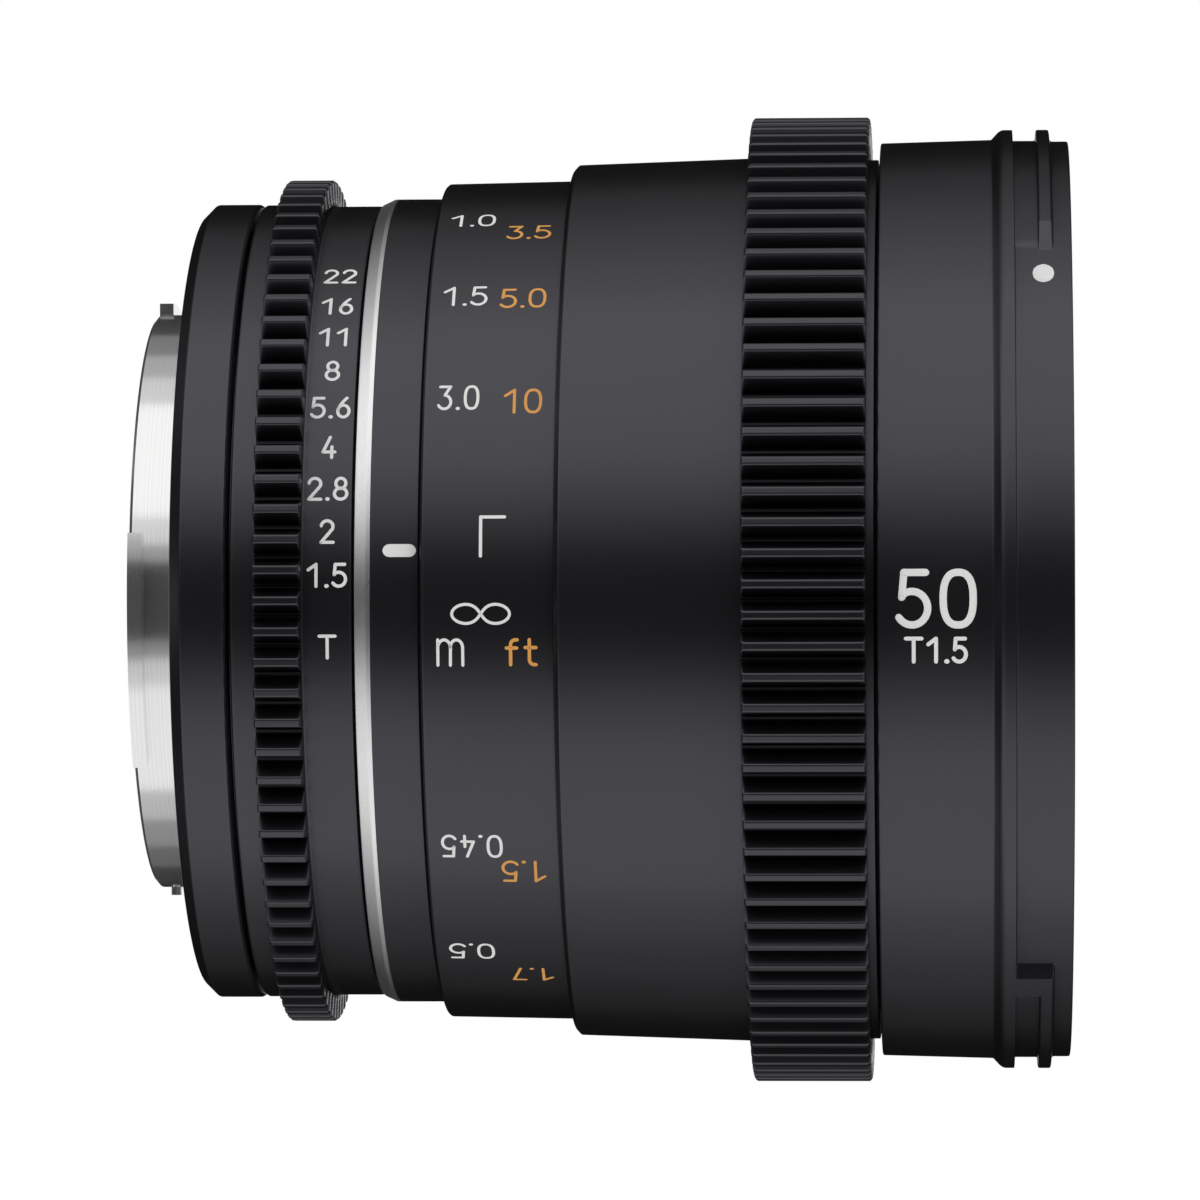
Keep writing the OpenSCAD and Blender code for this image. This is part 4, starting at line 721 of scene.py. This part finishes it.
# ribbon: the pen path with its half width to each side; a bare end gets a half-round of shrinking widths
def ribbon(path, half, closed, lift, topShare=0.88, leastCosine=0.55, capAngles=(8.0, 35.0, 62.0)):
    path = evenPath(path, closed)
    width = np.full(len(path), half)
    if closed:
        ahead = np.roll(path, -1, 0) - np.roll(path, 1, 0)
        side = np.stack([-ahead[:, 1], ahead[:, 0]], -1) / np.linalg.norm(ahead, axis=1)[:, None]
    else:
        step = np.diff(path, axis=0)
        unit = step / np.linalg.norm(step, axis=1)[:, None]
        normal = np.stack([-unit[:, 1], unit[:, 0]], -1)
        mean = np.concatenate([normal[:1], normal[:-1] + normal[1:], normal[-1:]])
        mean /= np.linalg.norm(mean, axis=1)[:, None]
        cosine = np.concatenate([[1.0], np.sum(mean[1:-1] * normal[1:], 1), [1.0]])
        side = mean / np.maximum(cosine, leastCosine)[:, None]
        a = np.radians(capAngles)
        headPath = path[0] - unit[0] * half * np.cos(a)[:, None]
        tailPath = path[-1] + unit[-1] * half * np.cos(a[::-1])[:, None]
        path = np.concatenate([headPath, path, tailPath])
        side = np.concatenate([np.repeat(normal[:1], len(a), 0), side, np.repeat(normal[-1:], len(a), 0)])
        width = np.concatenate([half * np.sin(a), width, half * np.sin(a[::-1])])
    across = np.array([-1.0, -topShare, topShare, 1.0])
    height = np.array([-lift, lift, lift, -lift])
    flat = path[:, None] + side[:, None] * (across[None] * width[:, None])[..., None]
    count, cap = len(path), np.arange(4)
    quads = np.array(wrapFaces(count, 4))
    if not closed:
        quads = np.concatenate([quads[:-4], [cap, 4 * count - 1 - cap]])
    return flat.reshape(-1, 2), np.tile(height, count), quads


# pen strokes of a word; align 0 centres it, -1 puts its start and 1 its end at the given place; narrow squeezes it
def wordStrokes(word, high, pen, gap, align=0, narrow=1.0, dotShare=0.6):
    strokes, x = [], 0.0
    for letter in word:
        wide, parts = glyphs[letter]
        size = high - pen
        half = pen * (dotShare if letter == "." else 0.5)
        for path, closed in parts:
            placed = path * size * np.array([narrow, 1.0]) + np.array([x + pen / 2, pen / 2])
            strokes += [(placed, True, half)] if closed else [(part, False, half) for part in splitSharp(placed)]
        x += narrow * wide * size + pen + gap
    x -= gap
    shift = np.array([x * (1 + align) / 2, high / 2])
    return [(path - shift, closed, half) for path, closed, half in strokes]


# lays strokes (u along the axis, v up the ring) on a ring of radius r at x; flip turns them upside down
def layStrokes(strokes, x, angle, radiusAt, flip, lift=0.012):
    points, faces, start = [], [], 0
    sign = -1.0 if flip else 1.0
    for path, closed, half in strokes:
        flat, height, quads = ribbon(path, half, closed, lift)
        placeX = x + sign * flat[:, 0]
        r = radiusAt(placeX) + height
        points.append(onLens(placeX, r, math.radians(angle) + sign * flat[:, 1] / radiusAt(x)))
        faces.append(quads + start)
        start += len(flat)
    return points, faces, start


# all marks of one ink on one body as one piece
def markPiece(name, marks, finish, body):
    points, faces, start = [], [], 0
    for strokes, x, angle, radiusAt, flip in marks:
        p, f, count = layStrokes(strokes, x, angle, radiusAt, flip)
        points += p
        faces += [quads + start for quads in f]
        start += count
    makePiece(name, np.concatenate(points), np.concatenate(faces).tolist(), finish, body)


# T scale on the aperture ring, once on each side
stopScale = {"x": 13.35, "radius": 34.5, "high": 2.1, "pen": 0.29, "gap": 0.26,
             "places": {"22": 52.78, "16": 45.98, "11": 39.88, "8": 33.87, "5.6": 27.81, "4": 21.68, "2.8": 15.62,
                        "2": 9.56, "1.5": 3.49, "T": -6.39}}
sides = (0.0, 180.0)


def flatRadius(r):
    return lambda x: np.full_like(np.asarray(x, float), r)


marks = []
for side in sides:
    for word, angle in stopScale["places"].items():
        strokes = wordStrokes(word, stopScale["high"], stopScale["pen"], stopScale["gap"])
        marks.append((strokes, stopScale["x"], angle + side, flatRadius(stopScale["radius"]), side > 0))
markPiece("stopScale", marks, "whitePaint", "aperture")


# a cone's radius: grows evenly from the start x
def coneRadius(startX, startR, slope):
    return lambda x: startR + slope * (np.asarray(x, float) - startX)


# distance scale: the angle from infinity grows with the carriage's travel for that distance; a second scale half a
# turn on serves the other side, so it is upside down from this one
distanceScale = {"metreX": 22.45, "feetX": 31.15, "high": 2.36, "pen": 0.27, "gap": 0.31,
                 "narrow": {"3.0": 0.84, "0.45": 0.88}, "radius": coneRadius(21.5, 36.4, 0.2 / 10.8),
                 "metres": {"3.0": 27.5, "1.5": 44.45, "1.0": 62.6, "0.7": 89.5, "0.5": 125.5, "0.45": 145.8},
                 "feet": {"10": 26.87, "5.0": 43.88, "3.5": 58.75, "2.3": 89.5, "1.7": 119.5, "1.5": 141.7}}
# infinity: x = long cosine + a little cosine of three times the angle, y = sine of twice the angle
loop = np.arange(64) * turn / 64
infinity = np.stack([2.06 * np.cos(loop) + 0.33 * np.cos(3 * loop), 0.79 * np.sin(2 * loop)], -1)
bracket = join((-0.98, -1.62), (-0.98, 1.62), (0.98, 1.62))
scale = distanceScale
# signs: strokes, x, angle
metreSigns = [([(infinity, True, 0.13)], 26.24, -1.76),
              ([(part, False, 0.145) for part in splitSharp(bracket)], 27.21, 8.31),
              (wordStrokes("m", 2.37, 0.27, 0.3), 23.71, -6.78)]
feetSigns = [(wordStrokes("ft", 2.37, 0.31, 0.38), 29.58, -6.74)]
for name, finish, words, wordX, align, signs in [
        ("metreScale", "whitePaint", scale["metres"], scale["metreX"], -1, metreSigns),
        ("feetScale", "orangePaint", scale["feet"], scale["feetX"], 1, feetSigns)]:
    marks = []
    for side in sides:
        flip = side > 0
        for word, angle in words.items():
            strokes = wordStrokes(word, scale["high"], scale["pen"], scale["gap"], -align if flip else align,
                                  scale["narrow"].get(word, 1.0))
            marks.append((strokes, wordX, angle + side, scale["radius"], flip))
        marks += [(strokes, x, angle + side, scale["radius"], flip) for strokes, x, angle in signs]
    markPiece(name, marks, finish, "focus")

# marks on the fixed barrel: index pill on both sides, hood dot, focal length and widest stop
pill = [(join((-0.82, 0), (0.82, 0)), False, 0.57)]
dot = [(join((0, -0.12), (0, 0.12)), False, 0.94)]
frontRadius = coneRadius(59.03, 39.74, 0.25 / 9.4)
fixedMarks = [(pill, 19.4, 6.76 + side, flatRadius(35.1), False) for side in sides]
fixedMarks += [(dot, 72.68, 42.85, flatRadius(frontBarrel["groove"]), False),
               (wordStrokes("50", 4.93, 0.63, 0.63, 0, 0.95), 63.78, 0.06, frontRadius, False),
               (wordStrokes("T1.5", 2.23, 0.34, 0.22, 0, 0.93), 63.73, -5.99, frontRadius, False)]
markPiece("fixedMarks", fixedMarks, "whitePaint", "barrel")
print("markings made")


# finishes of the nodes that keep their CAD shape
nodeFinish = {"black_anodised": "blackAnodised", "matt_black": "mattBlack", "inner_metal": "innerMetal",
              "mount_chrome": "mountChrome", "bright_ring": "brightRing", "screw_steel": "screwSteel",
              "bearing_brass": "bearingBrass", "bearing_polymer": "bearingPlastic",
              "coated_glass": "coatedGlassInner", "blade_black": "bladeBlack"}
nodeSlot = {row["node"]: row["material_slot"] for row in frame["record"]["subparts"]}
for name, node in frame["nodes"].items():
    node.data.materials.clear()
    node.data.materials.append(finishes[nodeFinish[nodeSlot[name]]])
print("node finishes set")


# studio: a soft lamp bank over and one under the camera, each fading out at its ends, in a dark tent that only
# reflections see; the tent is open behind the lens and has a dim screen across its front end
studio = {"glow": 1.0, "ambient": 0.45, "floorHeight": -780.0, "floorReach": 1700.0, "floorMiddle": 35.0,
          "floorRings": 12, "floorSteps": 96, "lampDistance": 600.0,
          "lampBack": -1250.0, "lampFront": 1135.0, "tentRadius": 730.0, "tentBack": -1560.0, "tentFront": 1250.0,
          "tentGap": 9.0,
          "banks": [(15.0, 22.0, 0.30), (22.0, 33.0, 0.66), (33.0, 84.0, 1.0), (84.0, 99.0, 0.62),
                    (99.0, 114.0, 0.36), (114.0, 132.0, 0.15), (-22.0, -15.0, 0.2), (-33.0, -22.0, 0.58),
                    (-80.0, -33.0, 0.84), (-96.0, -80.0, 0.46), (-114.0, -96.0, 0.22), (-132.0, -114.0, 0.08)]}


# lamp panel: flat, square to the line from the lens at its middle angle, as wide as the angles it fills
def lampPanel(low, high, radiance):
    a, half = math.radians((low + high) / 2), math.radians((high - low) / 2)
    data = bpy.data.lights.new("bank%d" % round(low), "AREA")
    data.shape = "RECTANGLE"
    data.size = (studio["lampFront"] - studio["lampBack"]) * mm
    data.size_y = 2 * studio["lampDistance"] * math.tan(half) * mm
    data.energy = radiance * math.pi * data.size * data.size_y
    lamp = addObject(data.name, data)
    outward = Vector((0.0, -math.cos(a), math.sin(a)))
    lengthways = Vector((1.0, 0.0, 0.0))
    lamp.rotation_mode = "QUATERNION"
    lamp.rotation_quaternion = Matrix((lengthways, outward.cross(lengthways), outward)).transposed().to_quaternion()
    middle = (studio["lampFront"] + studio["lampBack"]) / 2
    lamp.location = (Vector((middle, 0.0, 0.0)) + outward * studio["lampDistance"]) * mm
    lamp.visible_camera = False


for row in studio["banks"]:
    lampPanel(*row)

for name, tone in (("tentBlack", 0.002), ("tentDim", 0.4), ("floorPale", 0.86)):
    newFinish(name, {"Base Color": (tone, tone, tone, 1.0), "Roughness": 0.9, "Specular IOR Level": 0.0})

# tent: a wall round the axis with a gap behind the lens, and a disc across each end
wallAngles = np.radians(np.linspace(studio["tentGap"] - 180.0, 180.0 - studio["tentGap"], 73))
tentX = np.array([studio["tentBack"], studio["tentFront"]])
strips = [onLens(tentX[:, None], studio["tentRadius"], wallAngles[None])]
for x in tentX:
    strips.append(onLens(x, np.linspace(0.02, 1.0, 2)[:, None] * studio["tentRadius"], wallAngles[None]))
index = np.arange(2 * len(strips) * len(wallAngles)).reshape(len(strips), 2, len(wallAngles))
quads = np.stack([index[:, 0, :-1], index[:, 1, :-1], index[:, 1, 1:], index[:, 0, 1:]], -1).reshape(-1, 4)
mesh = newMesh("darkTent", np.concatenate(strips), quads.tolist(), "tentBlack", "tentDim")
mesh.polygons.foreach_set("material_index", np.repeat([0, 0, 1], len(wallAngles) - 1).astype(np.int32))
tent = addObject("darkTent", mesh)
for kind in ("camera", "diffuse", "transmission", "shadow"):
    setattr(tent, "visible_" + kind, False)

# floor: a flat disc of rings under the lens
shape = studio["floorRings"], studio["floorSteps"]
a = np.arange(shape[1]) * turn / shape[1]
ring = np.linspace(0.02, 1.0, shape[0])[:, None] * studio["floorReach"]
points = np.stack([studio["floorMiddle"] + ring * np.cos(a), ring * np.sin(a),
                   np.full(shape, studio["floorHeight"])], -1)
index = np.arange(shape[0] * shape[1]).reshape(shape)
floor = addObject("floor", newMesh("floor", points, ringFaces(index) + [index[0].tolist()], "floorPale"))

world = bpy.data.worlds.new("studioWorld")
scene.world = world
world.use_nodes = True
tree = world.node_tree
background = tree.nodes["Background"]
path = addNode(tree, "ShaderNodeLightPath")
seen = mathNode(tree, "MAXIMUM", path.outputs["Is Camera Ray"],
                mathNode(tree, "MAXIMUM", path.outputs["Is Glossy Ray"], path.outputs["Is Transmission Ray"]))
background.inputs["Color"].default_value = (1, 1, 1, 1)
tree.links.new(rangeNode(tree, seen, 0.0, 1.0, studio["ambient"], studio["glow"]), background.inputs["Strength"])
scene.view_settings.view_transform = "Standard"
print("studio set")
